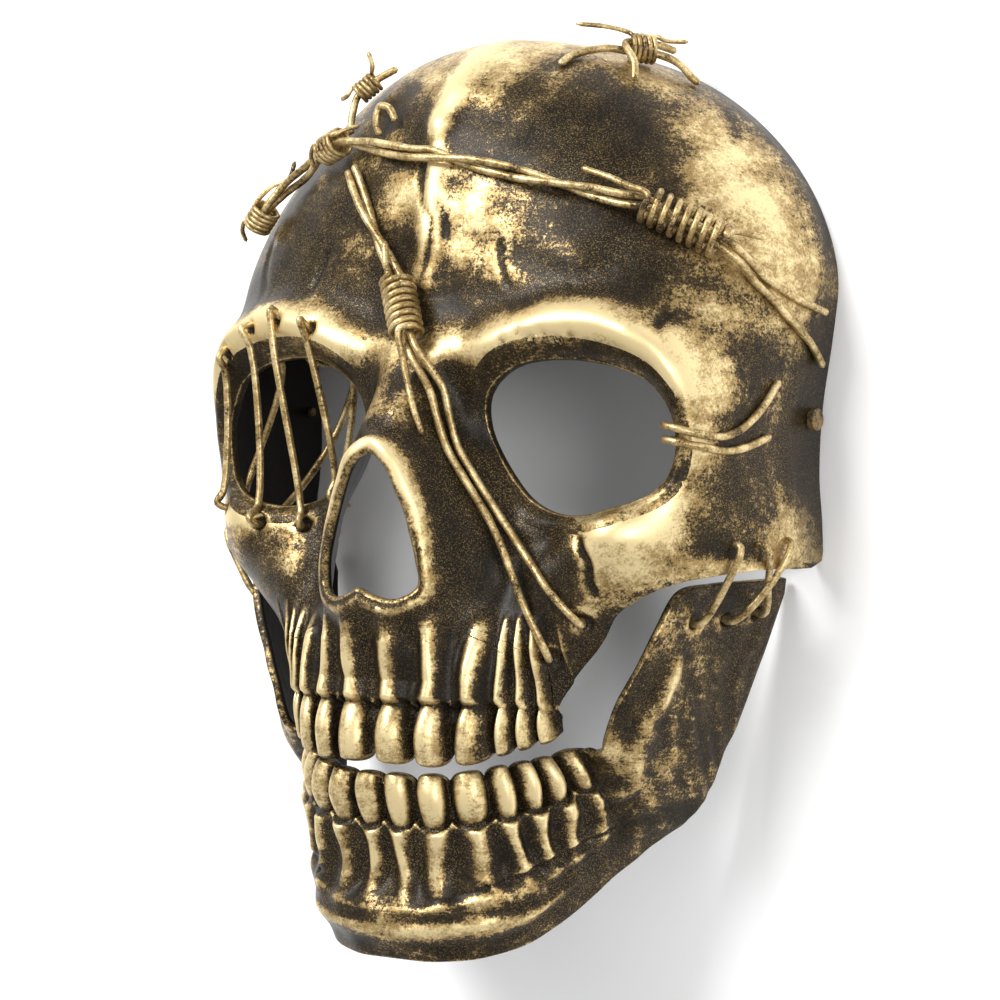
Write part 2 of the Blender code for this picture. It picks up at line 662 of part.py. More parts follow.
# Wires wound in a coil round others: wire radius, coil radius, turns, axis from and to, lead in, lead out
BARBS = {
    "barb_forehead": (
        BARB_WIRE_RADIUS, 4.7, 8, (61.0, 67.4, 53.0, 6.4), (78.5, 57.6, 43.5, 6.4),
        ((44.0, 79.4, 57.0, 3.4), (52.0, 76.2, 55.5, 5.2)),
        ((81.2, 61.0, 41.0, 7.5), (86.6, 60.4, 35.0, 7.5)),
    ),
    "barb_nose": (
        BARB_WIRE_RADIUS, 4.2, 8, (-4.6, 49.5, 68.7, 5.6), (3.0, 30.5, 76.0, 5.6),
        ((-9.6, 60.5, 68.0, 6.0), (-7.0, 54.0, 68.4, 8.0)),
        ((3.4, 24.0, 80.0, 4.6), (7.4, 12.0, 84.0, 2.2), (10.2, 5.0, 84.0, 1.8)),
    ),
    "barb_junction": (
        COIL_WIRE_RADIUS, 3.8, 5, (-41.0, 86.3, 56.0, 5.3), (-33.9, 88.8, 57.0, 5.3),
        ((-45.4, 82.0, 55.0, 4.6), (-43.4, 84.0, 55.0, 7.6)),
        ((-31.6, 91.6, 57.0, 6.6), (-31.0, 94.6, 56.0, 3.2)),
    ),
    "barb_side": (
        COIL_WIRE_RADIUS, 3.8, 5, (-72.2, 65.8, 51.0, 5.3), (-66.9, 70.7, 50.0, 5.3),
        ((-76.8, 61.6, 49.0, 5.4), (-74.6, 63.8, 50.0, 8.2)),
        ((-64.4, 76.6, 49.5, 7.6), (-62.6, 80.6, 50.5, None), (-62.4, 86.6, 47.5, None)),
    ),
    "barb_top": (
        COIL_WIRE_RADIUS, 2.7, 5, (-37.3, 105.8, 50.9, None), (-33.0, 110.8, 47.9, None),
        ((-42.6, 104.2, 52.0, None), (-39.6, 105.0, 53.4, None)),
        ((-33.4, 114.4, 50.0, None), (-34.6, 118.4, 50.6, None)),
    ),
    "barb_crown": (
        COIL_WIRE_RADIUS, 3.7, 5, (38.4, 121.2, 24.8, None), (43.4, 121.2, 19.0, None),
        ((25.3, 127.4, 33.2, None), (33.0, 126.9, 27.6, None)),
        ((45.4, 124.0, 16.6, None), (51.4, 123.6, 14.4, None)),
    ),
}

# Single wires: x, y, z and lift over the shell
WIRES = {
    "wire_crown_long": (
        (27.0, 112.9, 43.6, 1.5), (28.0, 117.2, 38.4, None), (33.6, 120.2, 30.6, None), (38.4, 119.9, 24.8, None),
        (43.4, 119.9, 19.0, None), (49.0, 117.4, 15.4, None), (54.2, 111.6, 12.4, 1.5),
    ),
    "wire_crown_short": (
        (45.8, 109.0, 34.0, 1.5), (44.6, 114.8, 32.4, None), (40.6, 120.4, 28.8, None), (38.4, 122.5, 24.8, None),
        (43.4, 122.5, 19.0, None), (47.6, 121.2, 14.6, None),
    ),
    "wire_top": (
        (-37.6, 93.6, 54.0, 1.5), (-38.6, 100.0, 53.2, 3.4), (-37.3, 105.8, 50.9, None),
        (-33.0, 110.8, 47.9, None), (-28.0, 114.6, 45.0, None),
    ),
    "hook_brow": (
        (-21.4, 91.6, 60.0, 1.6), (-22.2, 95.2, 59.0, 3.6), (-20.8, 98.6, 57.6, 5.4),
        (-17.6, 98.4, 58.6, 4.6), (-15.4, 95.6, 60.0, 2.4),
    ),
    "orbit_loop_upper": (
        (80.8, 10.4, 50.6, None), (77.2, 10.0, 50.2, None), (73.6, 9.6, 54.0, None), (74.8, 9.2, 60.0, None),
        (79.0, 8.2, 60.0, 1.7), (83.0, 6.6, 55.6, 1.6), (85.0, 6.6, 49.6, 1.6), (86.4, 9.6, 42.6, 1.6),
        (87.4, 16.4, 34.0, 1.6), (88.4, 24.6, 27.0, 1.6),
    ),
    "orbit_loop_lower": (
        (80.8, 5.4, 50.4, None), (77.4, 5.6, 50.0, None), (73.8, 5.4, 53.8, None), (75.0, 5.0, 59.8, None),
        (79.0, 4.4, 59.8, 1.7), (83.0, 3.2, 55.4, 1.6), (85.0, 2.8, 48.6, 1.6), (86.6, 4.6, 40.6, 1.6),
        (87.4, 8.8, 29.6, 1.6),
    ),
}


def hole_at(x, y):
    """Place and direction of a hole in the upper shell, over x and y."""
    return leaned((x, y, float(skull_height(x, y)))), skull_normal(float(x), float(y))


def cheek_hole(side, y, z):
    """Place and direction of a hole in the side wall, found by halving the span across the wall."""
    low, high = 60.0, float(half_width(y))
    for _ in range(40):
        middle = 0.5 * (low + high)
        if float(skull_height(middle, y)) > z:
            low = middle
        else:
            high = middle
    return leaned((side * low, y, z)), skull_normal(side * low, float(y))


def jaw_hole(side, station, v):
    place, normal = jaw_point(side, station, v, 0.0)
    return leaned(place), normal


def through(hole, start, end):
    """Two points on a hole's axis, at the given distances outside the shell."""
    place, normal = hole
    return [place + start * normal, place + end * normal]


def behind_edge(x, y):
    """A point behind the edge of the eye opening."""
    return leaned((x, y, float(skull_height(x, y)) - LACE_DIP))


def before_edge(shells, x, y, lift):
    """A point in front of the shell, at the given distance from it."""
    return shells.over((x, y, float(skull_height(x, y)), lift))


def eye_lace_path(shells):
    """One cord: out of each upper hole, down over the eye, in at the lower hole and up behind."""
    path = []
    for k, (upper, lower) in enumerate(zip(EYE_LACE_UPPER, EYE_LACE_LOWER)):
        top, foot = hole_at(*upper), hole_at(*lower)
        if k:
            path.append(behind_edge(upper[0], upper[1] - 9.5))
        path += through(top, -LACE_BEHIND, LACE_FRONT)
        path.append(before_edge(shells, upper[0], upper[1] - 4.5, LACE_FRONT + 0.8))
        path.append(before_edge(shells, lower[0], lower[1] + 3.5, LACE_FRONT + 0.5))
        path += through(foot, LACE_FRONT, -LACE_BEHIND)
        if k < len(EYE_LACE_UPPER) - 1:
            path.append(behind_edge(lower[0], lower[1] + 7.0))
    return path


def jaw_lace_path(side):
    """One cord that crosses between the cheekbone and the jaw and goes through each hole."""
    cheek = [cheek_hole(side, *row) for row in CHEEK_LACE]
    jaw = [jaw_hole(side, *row) for row in JAW_LACE]
    path = through(cheek[0], -LACE_BEHIND, LACE_FRONT)
    path.append(0.5 * (cheek[0][0] + jaw[0][0]) + (LACE_FRONT + 0.8) * cheek[0][1])
    path += through(jaw[0], LACE_FRONT, -LACE_BEHIND)
    path += through(jaw[1], -LACE_BEHIND, LACE_FRONT)
    over = 0.5 * (jaw[1][0] + cheek[2][0]) + (LACE_FRONT + 3.4) * cheek[2][1]
    path.append(over)
    path += through(cheek[2], LACE_FRONT, -LACE_BEHIND)
    path += through(cheek[1], -LACE_BEHIND, LACE_FRONT)
    path.append(0.5 * (cheek[1][0] + jaw[2][0]) + (LACE_FRONT + 0.4) * cheek[1][1])
    path += through(jaw[2], LACE_FRONT, -LACE_BEHIND)
    return path


def twisted_pair(rows, tails, twists, shells):
    """Two wires twisted round a course over the shell, each with its own way on after it."""
    middle = open_curve([shells.over(row) for row in rows], PAIR_STEP)
    along = np.gradient(middle, axis=0)
    along /= np.linalg.norm(along, axis=1, keepdims=True)
    normal = np.array([shells.outward(place) for place in middle])
    across = np.cross(along, normal)
    across /= np.linalg.norm(across, axis=1, keepdims=True)
    up = np.cross(across, along)
    turn = 2 * math.pi * twists * np.linspace(0, 1, len(middle))[:, None]
    both = []
    for sign, tail in zip((1, -1), tails):
        wire = middle + sign * PAIR_RADIUS * (np.cos(turn) * across + np.sin(turn) * up)
        last = [shells.over(row) for row in tail]
        both.append(np.vstack([wire, open_curve([wire[-1]] + last, WIRE_STEP)[1:]]))
    return both


def barb_path(row, shells):
    _, radius, turns, start, end, lead_in, lead_out = row
    start, end = shells.over(start), shells.over(end)
    wound = coil(start, end, radius, turns, shells.outward(0.5 * (start + end)))
    first = open_curve([shells.over(place) for place in lead_in] + [wound[0]], WIRE_STEP)
    last = open_curve([wound[-1]] + [shells.over(place) for place in lead_out], WIRE_STEP)
    return np.vstack([first[:-1], wound, last[1:]])


def lathe_mesh(name, rows, place, axis):
    """A closed turned shape. Each row is a height along the axis and a radius."""
    turn = Vector(axis).to_track_quat("Z", "Y").to_matrix()
    shape = bmesh.new()
    rings = []
    for height, radius in rows:
        ring = []
        for k in range(STUD_SIDES):
            a = 2 * math.pi * k / STUD_SIDES
            spot = turn @ Vector((radius * math.cos(a), radius * math.sin(a), height))
            ring.append(shape.verts.new((Vector(place) + spot) * MM))
        rings.append(ring)
    for low, high in zip(rings[:-1], rings[1:]):
        for k in range(STUD_SIDES):
            m = (k + 1) % STUD_SIDES
            shape.faces.new((low[k], low[m], high[m], high[k]))
    shape.faces.new(rings[0][::-1])
    shape.faces.new(rings[-1])
    bmesh.ops.recalc_face_normals(shape, faces=shape.faces)
    mesh = bpy.data.meshes.new(name)
    shape.to_mesh(mesh)
    shape.free()
    return mesh


def build():
    for old in list(bpy.data.objects):
        bpy.data.objects.remove(old)
    parts = bpy.data.collections.new("skull_mask")
    cutters = bpy.data.collections.new("cutters")
    bpy.context.scene.collection.children.link(parts)
    bpy.context.scene.collection.children.link(cutters)

    gold = finish("antique_gold_shell", (0.42, 0.30, 0.13), 0.42, 0.75)
    wire_gold = finish("antique_gold_wire", (0.55, 0.42, 0.20), 0.40, 0.75)

    skull = new_object("skull_shell", skull_shell_mesh(), parts, gold)
    right_eye = closed_curve(EYE_OUTLINE, 36)
    left_eye = [(-x, y) for x, y in right_eye]
    cut(skull, prism_cutter("right_eye_opening", right_eye, 20, 120, cutters))
    cut(skull, prism_cutter("left_eye_opening", left_eye, 20, 120, cutters))
    stud_holes = [cheek_hole(side, *STUD_PLACE) for side in (1, -1)]
    stud_holes = [(place, np.array([side, 0.0, 0.0])) for (place, _), side in zip(stud_holes, (1, -1))]
    holes = [hole_at(*row) for row in EYE_LACE_UPPER + EYE_LACE_LOWER + CHEEK_WIRE_HOLES]
    holes += [cheek_hole(side, *row) for side in (1, -1) for row in CHEEK_LACE]
    cut(skull, hole_cutter("skull_small_holes", holes + stud_holes, HOLE_RADIUS, 6.0, cutters))

    jaw = new_object("jaw_shell", jaw_shell_mesh(), parts, gold)
    jaw_holes = [jaw_hole(side, *row) for side in (1, -1) for row in JAW_LACE]
    cut(jaw, hole_cutter("jaw_small_holes", jaw_holes, HOLE_RADIUS, 6.0, cutters))

    shells = Shells((skull, jaw))
    for name, (place, axis) in zip(("temple_stud_right", "temple_stud_left"), stud_holes):
        new_object(name, lathe_mesh(name, STUD_ROWS, place, axis), parts, wire_gold)

    def wire(name, points, radius):
        tube(name, shells.lay(points, radius), radius, parts, wire_gold)

    for name, row in BARBS.items():
        wire(name, barb_path(row, shells), row[0])
    brow = twisted_pair(BROW_PAIR, BROW_TAILS, BROW_TWISTS, shells)
    nose = twisted_pair(NOSE_PAIR, NOSE_TAILS, NOSE_TWISTS, shells)
    nose = [
        np.vstack([course, through(hole_at(*hole), 1.6, -LACE_BEHIND)])
        for course, hole in zip(nose, CHEEK_WIRE_HOLES)
    ]
    wire("wire_brow_upper", brow[0], WIRE_RADIUS)
    wire("wire_brow_lower", brow[1], WIRE_RADIUS)
    wire("wire_nose_inner", nose[0], WIRE_RADIUS)
    wire("wire_nose_outer", nose[1], WIRE_RADIUS)
    for name, rows in WIRES.items():
        wire(name, open_curve([shells.over(row) for row in rows], WIRE_STEP), WIRE_RADIUS)
    wire("eye_lace", eye_lace_path(shells), CORD_RADIUS)
    wire("jaw_lace_right", jaw_lace_path(1), CORD_RADIUS)
    wire("jaw_lace_left", jaw_lace_path(-1), CORD_RADIUS)
    to_base_middle(parts, cutters)


def to_base_middle(parts, cutters):
    """Moves everything so that the origin lies under the middle of the whole, at its lowest point."""
    graph = bpy.context.evaluated_depsgraph_get()
    spots = []
    for item in parts.objects:
        mesh = bpy.data.meshes.new_from_object(item.evaluated_get(graph))
        spots += [tuple(vertex.co) for vertex in mesh.vertices]
        bpy.data.meshes.remove(mesh)
    low, high = np.min(spots, axis=0), np.max(spots, axis=0)
    shift = Matrix.Translation((-(low[0] + high[0]) / 2, -(low[1] + high[1]) / 2, -low[2]))
    for item in list(parts.objects) + list(cutters.objects):
        item.data.transform(shift)


build()
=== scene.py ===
# %% [markdown]
# # A skull mask in antique gold
#
# The mask is two moulded shells, a skull and a jaw, laced together, with barbed wire over the brow.
# Its solids are loaded first and stay where they are: every surface below is worked out in the same
# frame, in millimetres, and turned into metres at the end. +Z points out of the face, +Y to the crown
# and +X to the viewer's right.

# %% Load the frame
import math

import bmesh
import bpy
import numpy as np
from mathutils import Matrix, Vector
from mathutils.bvhtree import BVHTree


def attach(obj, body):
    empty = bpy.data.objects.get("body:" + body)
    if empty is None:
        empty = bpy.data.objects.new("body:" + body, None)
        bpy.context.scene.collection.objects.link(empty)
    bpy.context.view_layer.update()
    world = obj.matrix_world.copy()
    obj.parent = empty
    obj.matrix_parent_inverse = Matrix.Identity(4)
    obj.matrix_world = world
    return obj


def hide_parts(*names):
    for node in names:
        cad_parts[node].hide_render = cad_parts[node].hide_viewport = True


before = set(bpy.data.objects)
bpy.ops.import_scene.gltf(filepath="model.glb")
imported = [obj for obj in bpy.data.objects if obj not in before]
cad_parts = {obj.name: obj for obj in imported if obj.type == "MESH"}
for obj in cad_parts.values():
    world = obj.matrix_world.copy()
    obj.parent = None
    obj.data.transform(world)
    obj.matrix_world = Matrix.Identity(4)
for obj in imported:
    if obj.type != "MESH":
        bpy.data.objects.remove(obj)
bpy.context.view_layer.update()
MM = 0.001

# %% [markdown]
# ## Camera
#
# The picture is taken from 34 degrees to the right of the face's own axis, level with the nose and
# about 95 cm away, with the mask's middle a little left of and above the picture's. A long lens keeps
# the far side nearly as large as the near one. A camera can be aimed with a constraint, but three plain axis
# vectors are exact and easy to check against measured points.

# %% Place the camera
YAW = 34.0
ROLL = 1.5
DISTANCE = 950.0
TARGET = np.array([0.0, 3.8, 42.0])
PIXELS_PER_MM = 3.5
AIM = (475, 470)
SENSOR = 36.0
FRAME = 1000


def camera_axes():
    """Right, up and back vectors: yaw about the vertical, then roll about the line of sight."""
    back = np.array([math.sin(math.radians(YAW)), 0.0, math.cos(math.radians(YAW))])
    up = np.array([0.0, 1.0, 0.0])
    right = np.cross(up, back)
    c, s = math.cos(math.radians(ROLL)), math.sin(math.radians(ROLL))
    return right * c + up * s, up * c - right * s, back


right, up, back = camera_axes()
place = (TARGET + DISTANCE * back) * MM
lens = bpy.data.cameras.new("studio_camera")
lens.sensor_width = SENSOR
lens.lens = SENSOR * PIXELS_PER_MM * DISTANCE / FRAME
lens.shift_x = (FRAME / 2 - AIM[0]) / FRAME
lens.shift_y = (AIM[1] - FRAME / 2) / FRAME
lens.clip_start = 0.01
camera = bpy.data.objects.new("studio_camera", lens)
camera.matrix_world = Matrix(
    [[right[i], up[i], back[i], place[i]] for i in range(3)] + [[0, 0, 0, 1]]
)
bpy.context.scene.collection.objects.link(camera)
bpy.context.scene.camera = camera
print("lens", round(lens.lens, 1), "mm at", np.round(place, 3))

# %% [markdown]
# ## Helpers for smooth tables
#
# The moulded form is told by short tables: a few sections with their width, height and squareness.
# A smooth cubic runs through each column, so that any finer grid can be read from the same numbers.


# %% Read tables smoothly
def smooth_column(rows, index, at):
    """Cubic through one column against the first one, with slopes from the neighbouring rows."""
    rows = sorted(rows)
    knots = np.array([row[0] for row in rows], float)
    values = np.array([row[index] for row in rows], float)
    slope = np.gradient(values, knots)
    at = np.clip(at, knots[0], knots[-1])
    i = np.clip(np.searchsorted(knots, at) - 1, 0, len(knots) - 2)
    step = knots[i + 1] - knots[i]
    t = (at - knots[i]) / step
    start = (2 * t**3 - 3 * t**2 + 1) * values[i] + (t**3 - 2 * t**2 + t) * step * slope[i]
    end = (3 * t**2 - 2 * t**3) * values[i + 1] + (t**3 - t**2) * step * slope[i + 1]
    return start + end


def bell(distance, width):
    """exp(-(distance / width) squared): 1 at the middle, about a third one width away."""
    return np.exp(-((distance / width) ** 2))


def ramp(value, start, end):
    """0 before start, 1 after end, straight between."""
    return np.clip((value - start) / (end - start), 0.0, 1.0)


def near_line(x, y, points):
    """Distance to a line of straight runs, and how far along it the nearest point is, 0 to 1."""
    points = np.asarray(points, float)
    runs = np.hypot(*(points[1:] - points[:-1]).T)
    best = np.full(np.shape(x), 1.0e9)
    share = np.zeros(np.shape(x))
    done = 0.0
    for (ax, ay), (bx, by), run in zip(points[:-1], points[1:], runs):
        t = np.clip(((x - ax) * (bx - ax) + (y - ay) * (by - ay)) / run**2, 0, 1)
        distance = np.hypot(x - ax - t * (bx - ax), y - ay - t * (by - ay))
        share = np.where(distance < best, (done + t * run) / runs.sum(), share)
        best = np.minimum(distance, best)
        done += run
    return best, share


def spline(points, closed, per_run):
    """Centripetal curve through points: each run is a cubic paced by the square root of its length."""
    p = np.asarray(points, float)
    if closed:
        p = np.vstack([p[-1:], p, p[:2]])
    else:
        p = np.vstack([2 * p[0] - p[1], p, 2 * p[-1] - p[-2]])
    p0, p1, p2, p3 = (p[i : len(p) - 3 + i, None, :] for i in range(4))
    reach = lambda a, b: np.sqrt(np.linalg.norm(b - a, axis=-1, keepdims=True)) + 1e-9
    a, b, c = reach(p0, p1), reach(p1, p2), reach(p2, p3)
    m1 = b * ((p1 - p0) / a - (p2 - p0) / (a + b) + (p2 - p1) / b)
    m2 = b * ((p2 - p1) / b - (p3 - p1) / (b + c) + (p3 - p2) / c)
    t = np.linspace(0, 1, per_run, endpoint=False)[None, :, None]
    curve = (2 * t**3 - 3 * t**2 + 1) * p1 + (t**3 - 2 * t**2 + t) * m1
    curve = curve + (3 * t**2 - 2 * t**3) * p2 + (t**3 - t**2) * m2
    curve = curve.reshape(-1, p.shape[1])
    return curve if closed else np.vstack([curve, p[-2:-1]])


def even(points, count, closed):
    """The same line with its points at equal lengths."""
    p = np.vstack([points, points[:1]]) if closed else points
    length = np.concatenate([[0], np.cumsum(np.linalg.norm(np.diff(p, axis=0), axis=1))])
    at = np.linspace(0, length[-1], count, endpoint=not closed)
    return np.stack([np.interp(at, length, p[:, k]) for k in range(p.shape[1])], -1)


# %% [markdown]
# ## The form of the skull
#
# A real mask like this is cast from a mould taken off a carved skull. It could be sculpted by hand,
# but a height over the plane of its rim says the same thing in numbers: a squared dome, plus ridges
# (brow, nose, cheekbones), minus hollows (sockets, flanks), plus rows of roots and teeth.

# %% Main form of the skull
CROWN_Y = 128.0
BROAD_Y = 50.0
CROWN_FULLNESS = 2.8
RIM_FULLNESS = 1.87
SHELL_WALL = 2.6
SKULL_SECTIONS = (
    # y, half_width, edge_height, crest_height, squareness
    (128.0, 93.4, 0.0, 68.0, 2.0),
    (92.0, 93.4, 0.0, 68.0, 1.85),
    (72.0, 93.4, 0.0, 68.0, 2.15),
    (54.0, 93.2, 0.0, 68.3, 2.6),
    (38.0, 91.5, 0.0, 69.5, 3.2),
    (20.0, 89.1, 0.0, 71.0, 3.6),
    (0.0, 88.6, 0.0, 71.0, 3.6),
    (-15.0, 90.0, 0.0, 72.0, 3.2),
    (-23.0, 90.0, 0.0, 74.0, 3.0),
    (-29.0, 87.3, 14.0, 76.0, 2.8),
    (-38.0, 75.0, 28.0, 78.5, 2.6),
    (-48.0, 60.0, 40.0, 83.0, 2.3),
    (-60.0, 50.0, 45.0, 89.0, 2.1),
    (-72.0, 47.5, 46.0, 91.5, 2.0),
    (-95.0, 47.0, 46.0, 92.0, 2.0),
)
NOSE_RIDGE = (
    # y, rise, half_width
    (-62.0, 0.0, 17.0),
    (-50.0, 8.5, 20.0),
    (-40.0, 18.0, 22.0),
    (-20.0, 24.5, 22.0),
    (0.0, 24.0, 16.0),
    (12.0, 17.0, 12.0),
    (24.0, 9.0, 11.0),
    (36.0, 2.0, 13.0),
    (46.0, 0.0, 14.0),
)
BROW_LINE = ((7, 31), (18, 29.5), (31, 33), (46, 36.5), (60, 35), (73, 29), (81, 17), (82, 4), (80, -7))
BROW_RISE = ((0.0, 2.0), (0.15, 6.5), (0.45, 8.0), (0.75, 11.0), (0.9, 9.5), (1.0, 6.0))
BROW_WIDTH = 7.5
ARCH_RADIUS = 47.0
UPPER_TEETH = ((8.0, 7.0), (22.0, 6.3), (36.5, 7.2), (47.2, 3.9), (54.6, 3.8), (63.0, 4.4))
UPPER_BITE = ((0.0, -84.0), (36.0, -83.5), (48.0, -80.5), (57.0, -78.5), (66.0, -76.5), (72.0, -76.0))
LOWER_TEETH = ((6.3, 5.6), (19.5, 6.0), (33.0, 6.6), (44.0, 4.6), (52.5, 4.2), (60.5, 4.2), (70.0, 4.6))
TOOTH_NOTCH = 2.6
LOWER_GUM = 0.74
BROW_PATH = spline(BROW_LINE, False, 6)
EYE_MIDDLE = (47.0, 6.0)


def half_width(y):
    """Half the width of the rear rim: a rounded arc over the crown."""
    over = np.clip((y - BROAD_Y) / (CROWN_Y - BROAD_Y), 0, 1)
    arc = np.maximum(1 - over**RIM_FULLNESS, 0) ** (1 / RIM_FULLNESS)
    return smooth_column(SKULL_SECTIONS, 1, y) * arc


def tooth_form(angle, teeth):
    """Roundness of the crowns, a half circle over each tooth, and of the roots, a bell over each."""
    crown = np.zeros(np.shape(angle))
    roots = np.zeros(np.shape(angle))
    for middle, half in teeth:
        crown = np.maximum(crown, np.sqrt(np.clip(1 - ((angle - middle) / half) ** 2, 0, 1)))
        roots = roots + bell(angle - middle, 0.7 * half)
    return crown, roots


def tooth_bulge(angle, along, teeth):
    """Each crown as a dome: a half circle over its width, narrow at gum and bite, times a swell along it."""
    crown = np.zeros(np.broadcast(angle, along).shape)
    narrow = 0.60 + 0.34 * np.sin(math.pi * np.clip(0.08 + 0.62 * along, 0, 1))
    for middle, half in teeth:
        crown = np.maximum(crown, np.sqrt(np.clip(1 - ((angle - middle) / (half * narrow)) ** 2, 0, 1)))
    return crown * (0.35 + 0.65 * np.sin(math.pi * np.clip(0.06 + 0.8 * along, 0, 1)) ** 0.7)


def arch_angle(x):
    """Angle round the arch of the teeth, in degrees, over a distance from the midline."""
    return np.degrees(np.arcsin(np.clip(np.abs(x) / ARCH_RADIUS, 0, 1)))


def skull_height(x, y, relief=True):
    """Squared dome (1 - share^n)^(1/n) over each section, plus ridges, minus hollows."""
    side = np.abs(x)
    over = np.clip((y - BROAD_Y) / (CROWN_Y - BROAD_Y), 0, 1)
    edge = smooth_column(SKULL_SECTIONS, 2, y)
    share = np.clip(side / np.maximum(half_width(y), 1e-6), 0, 1)
    dome = np.maximum(1 - over**CROWN_FULLNESS, 0) ** (1 / CROWN_FULLNESS)
    crest = smooth_column(SKULL_SECTIONS, 3, y) * dome
    square = smooth_column(SKULL_SECTIONS, 4, y)
    fall = np.maximum(1 - share**square, 0) ** (1 / square)
    z = edge + (crest - edge) * fall
    free = np.clip(2.2 * fall, 0, 1)

    nose = smooth_column(NOSE_RIDGE, 1, y) * np.exp(-((side / smooth_column(NOSE_RIDGE, 2, y)) ** 3.2))
    distance, along = near_line(side, y, BROW_PATH)
    brow = free * smooth_column(BROW_RISE, 1, along) * bell(distance, BROW_WIDTH)
    from_eye = np.hypot((side - EYE_MIDDLE[0]) / 27, (y - EYE_MIDDLE[1]) / 21)
    socket = free * 7.0 * bell(np.maximum(from_eye - 0.75, 0), 0.35)
    cheekbone = free * 8.0 * np.exp(-(((side - 67) / 14) ** 2) - ((y + 20) / 10) ** 2)
    flank = 5.0 * np.exp(-(((side - 31) / 8) ** 2) - ((y + 30) / 17) ** 2)
    seam = 1.6 * bell(side, 4.5) * ramp(y, 38, 53) * np.clip(2 * fall, 0, 1)
    z = z + nose + brow - socket + cheekbone - flank + seam

    angle = arch_angle(x)
    crown, _ = tooth_form(angle, UPPER_TEETH)
    _, roots = tooth_form(angle + 0.5 * np.sin(y / 4.7 + 0.3 * x), UPPER_TEETH)
    neck = 2.0 * crown
    bite = smooth_column(UPPER_BITE, 1, angle)
    bulge = tooth_bulge(angle, ramp(-y, 68.5 - neck, -bite), UPPER_TEETH)
    if not relief:
        bulge, roots = 0.0, 0.0
    root_rows = ramp(-y, 42, 52) * ramp(y, -70.5 + neck, -69.3 + neck)
    tooth_rows = ramp(-y, 68.5 - neck, 70.0 - neck)
    z = z + root_rows * (4.9 * roots - 2.0) * np.cos(np.radians(angle)) ** 0.3
    z = z + tooth_rows * (6.3 * bulge - 4.6 if relief else -4.0)
    return np.maximum(z, 0.0)


print("height of the brow over the right eye:", round(float(skull_height(np.array(46.0), np.array(36.0))), 1))

# %% [markdown]
# ## Openings, marks and small relief
#
# The cast has a rolled lip round each eye, cracks in the bone, pits over the brow and small holes for
# the laces. Each is a line or a point with a width and a depth, so it can be added to the height.

# %% Small relief of the skull
EYE_OUTLINE = (
    (20.5, 9), (21.5, 18), (30, 25), (43, 27.5), (58, 25.5), (69.5, 20),
    (75.2, 10.5), (76, 1.5), (72.5, -8), (63, -14), (48.5, -16.2), (35, -12), (27, -4),
)
NOSE_OUTLINE = (
    (0, 1), (6, -2.5), (10.8, -11), (14.2, -20), (16.3, -30), (16.2, -38), (10.2, -42), (3.2, -40.5),
    (0, -39),
)
EYE_EDGE = even(spline(EYE_OUTLINE, True, 24), 260, True)
NOSE_EDGE = even(spline(NOSE_OUTLINE + tuple((-x, y) for x, y in NOSE_OUTLINE[-2:0:-1]), True, 12), 200, True)
CRACKS = (
    # depth, width, points
    (0.9, 0.9, ((22.8, 62.2), (23.4, 58.0), (24.3, 54.0), (26.9, 48.0), (29.5, 47.2))),
    (0.7, 0.7, ((46.0, 50.0), (49.1, 50.9), (51.9, 52.6), (56.0, 51.4), (59.3, 53.1), (62.9, 51.5))),
    (0.7, 0.6, ((44.1, 49.3), (46.0, 48.0), (47.6, 46.2))),
    (1.2, 1.1, ((73.6, 40.2), (71.6, 36.0), (73.3, 33.0), (75.6, 30.0), (76.9, 28.2), (80.1, 25.0))),
    (0.8, 0.8, ((60.9, 105.0), (67.2, 98.1), (71.5, 90.3))),
    (1.6, 1.2, ((53.4, -20.5), (55.0, -25.0), (57.2, -29.2), (56.6, -34.0), (58.0, -38.8))),
    (1.0, 1.3, ((-35.6, 59.4), (-39.5, 50.8), (-41.4, 44.4))),
    (1.0, 1.3, ((-67.5, 64.3), (-66.6, 53.8), (-60.7, 43.3))),
    (0.9, 1.3, ((-1.4, 91.0), (-3.4, 83.0), (-2.6, 73.0), (1.4, 66.0), (0.6, 57.0), (-2.0, 47.0))),
    (0.8, 1.2, ((1.2, 73.9), (5.0, 67.0), (5.6, 60.0))),
)
BUMPS = (
    # rise, width, x, y
    (1.6, 3.6, -1.4, 95.0),
    (1.0, 7.0, 44.0, 55.0),
    (-0.9, 1.3, 35.3, 33.5),
    (-1.0, 1.4, 38.8, 31.9),
    (-0.9, 1.2, 42.6, 33.2),
    (-0.9, 1.3, 46.2, 31.2),
    (-0.8, 1.2, 50.0, 33.0),
    (-0.8, 1.2, 30.7, 31.4),
    (1.8, 7.0, 62.0, -24.0),
    (-2.4, 5.0, 43.0, -23.0),
    (-1.5, 4.0, 72.0, 36.0),
)
EYE_LACE_UPPER = ((-71.0, 27.0), (-59.5, 34.3), (-48.5, 36.6), (-35.0, 35.0))
EYE_LACE_LOWER = ((-71.5, -17.0), (-54.8, -21.0), (-39.6, -20.6), (-29.0, -12.5))
CHEEK_WIRE_HOLES = ((44.2, -54.0), (53.0, -44.4))


def eye_distance(x, y):
    """Distance in the plane to the outline of the eye opening, less than 0 inside it."""
    side = np.abs(x)
    distance, _ = near_line(side, y, np.vstack([EYE_EDGE[::2], EYE_EDGE[:1]]))
    turns = np.zeros(np.shape(x), bool)
    a = EYE_EDGE
    b = np.roll(EYE_EDGE, -1, axis=0)
    for (ax, ay), (bx, by) in zip(a, b):
        if ay == by:
            continue
        crosses = (ay > y) != (by > y)
        turns ^= crosses & (side < (bx - ax) * (y - ay) / (by - ay) + ax)
    return np.where(turns, -distance, distance)


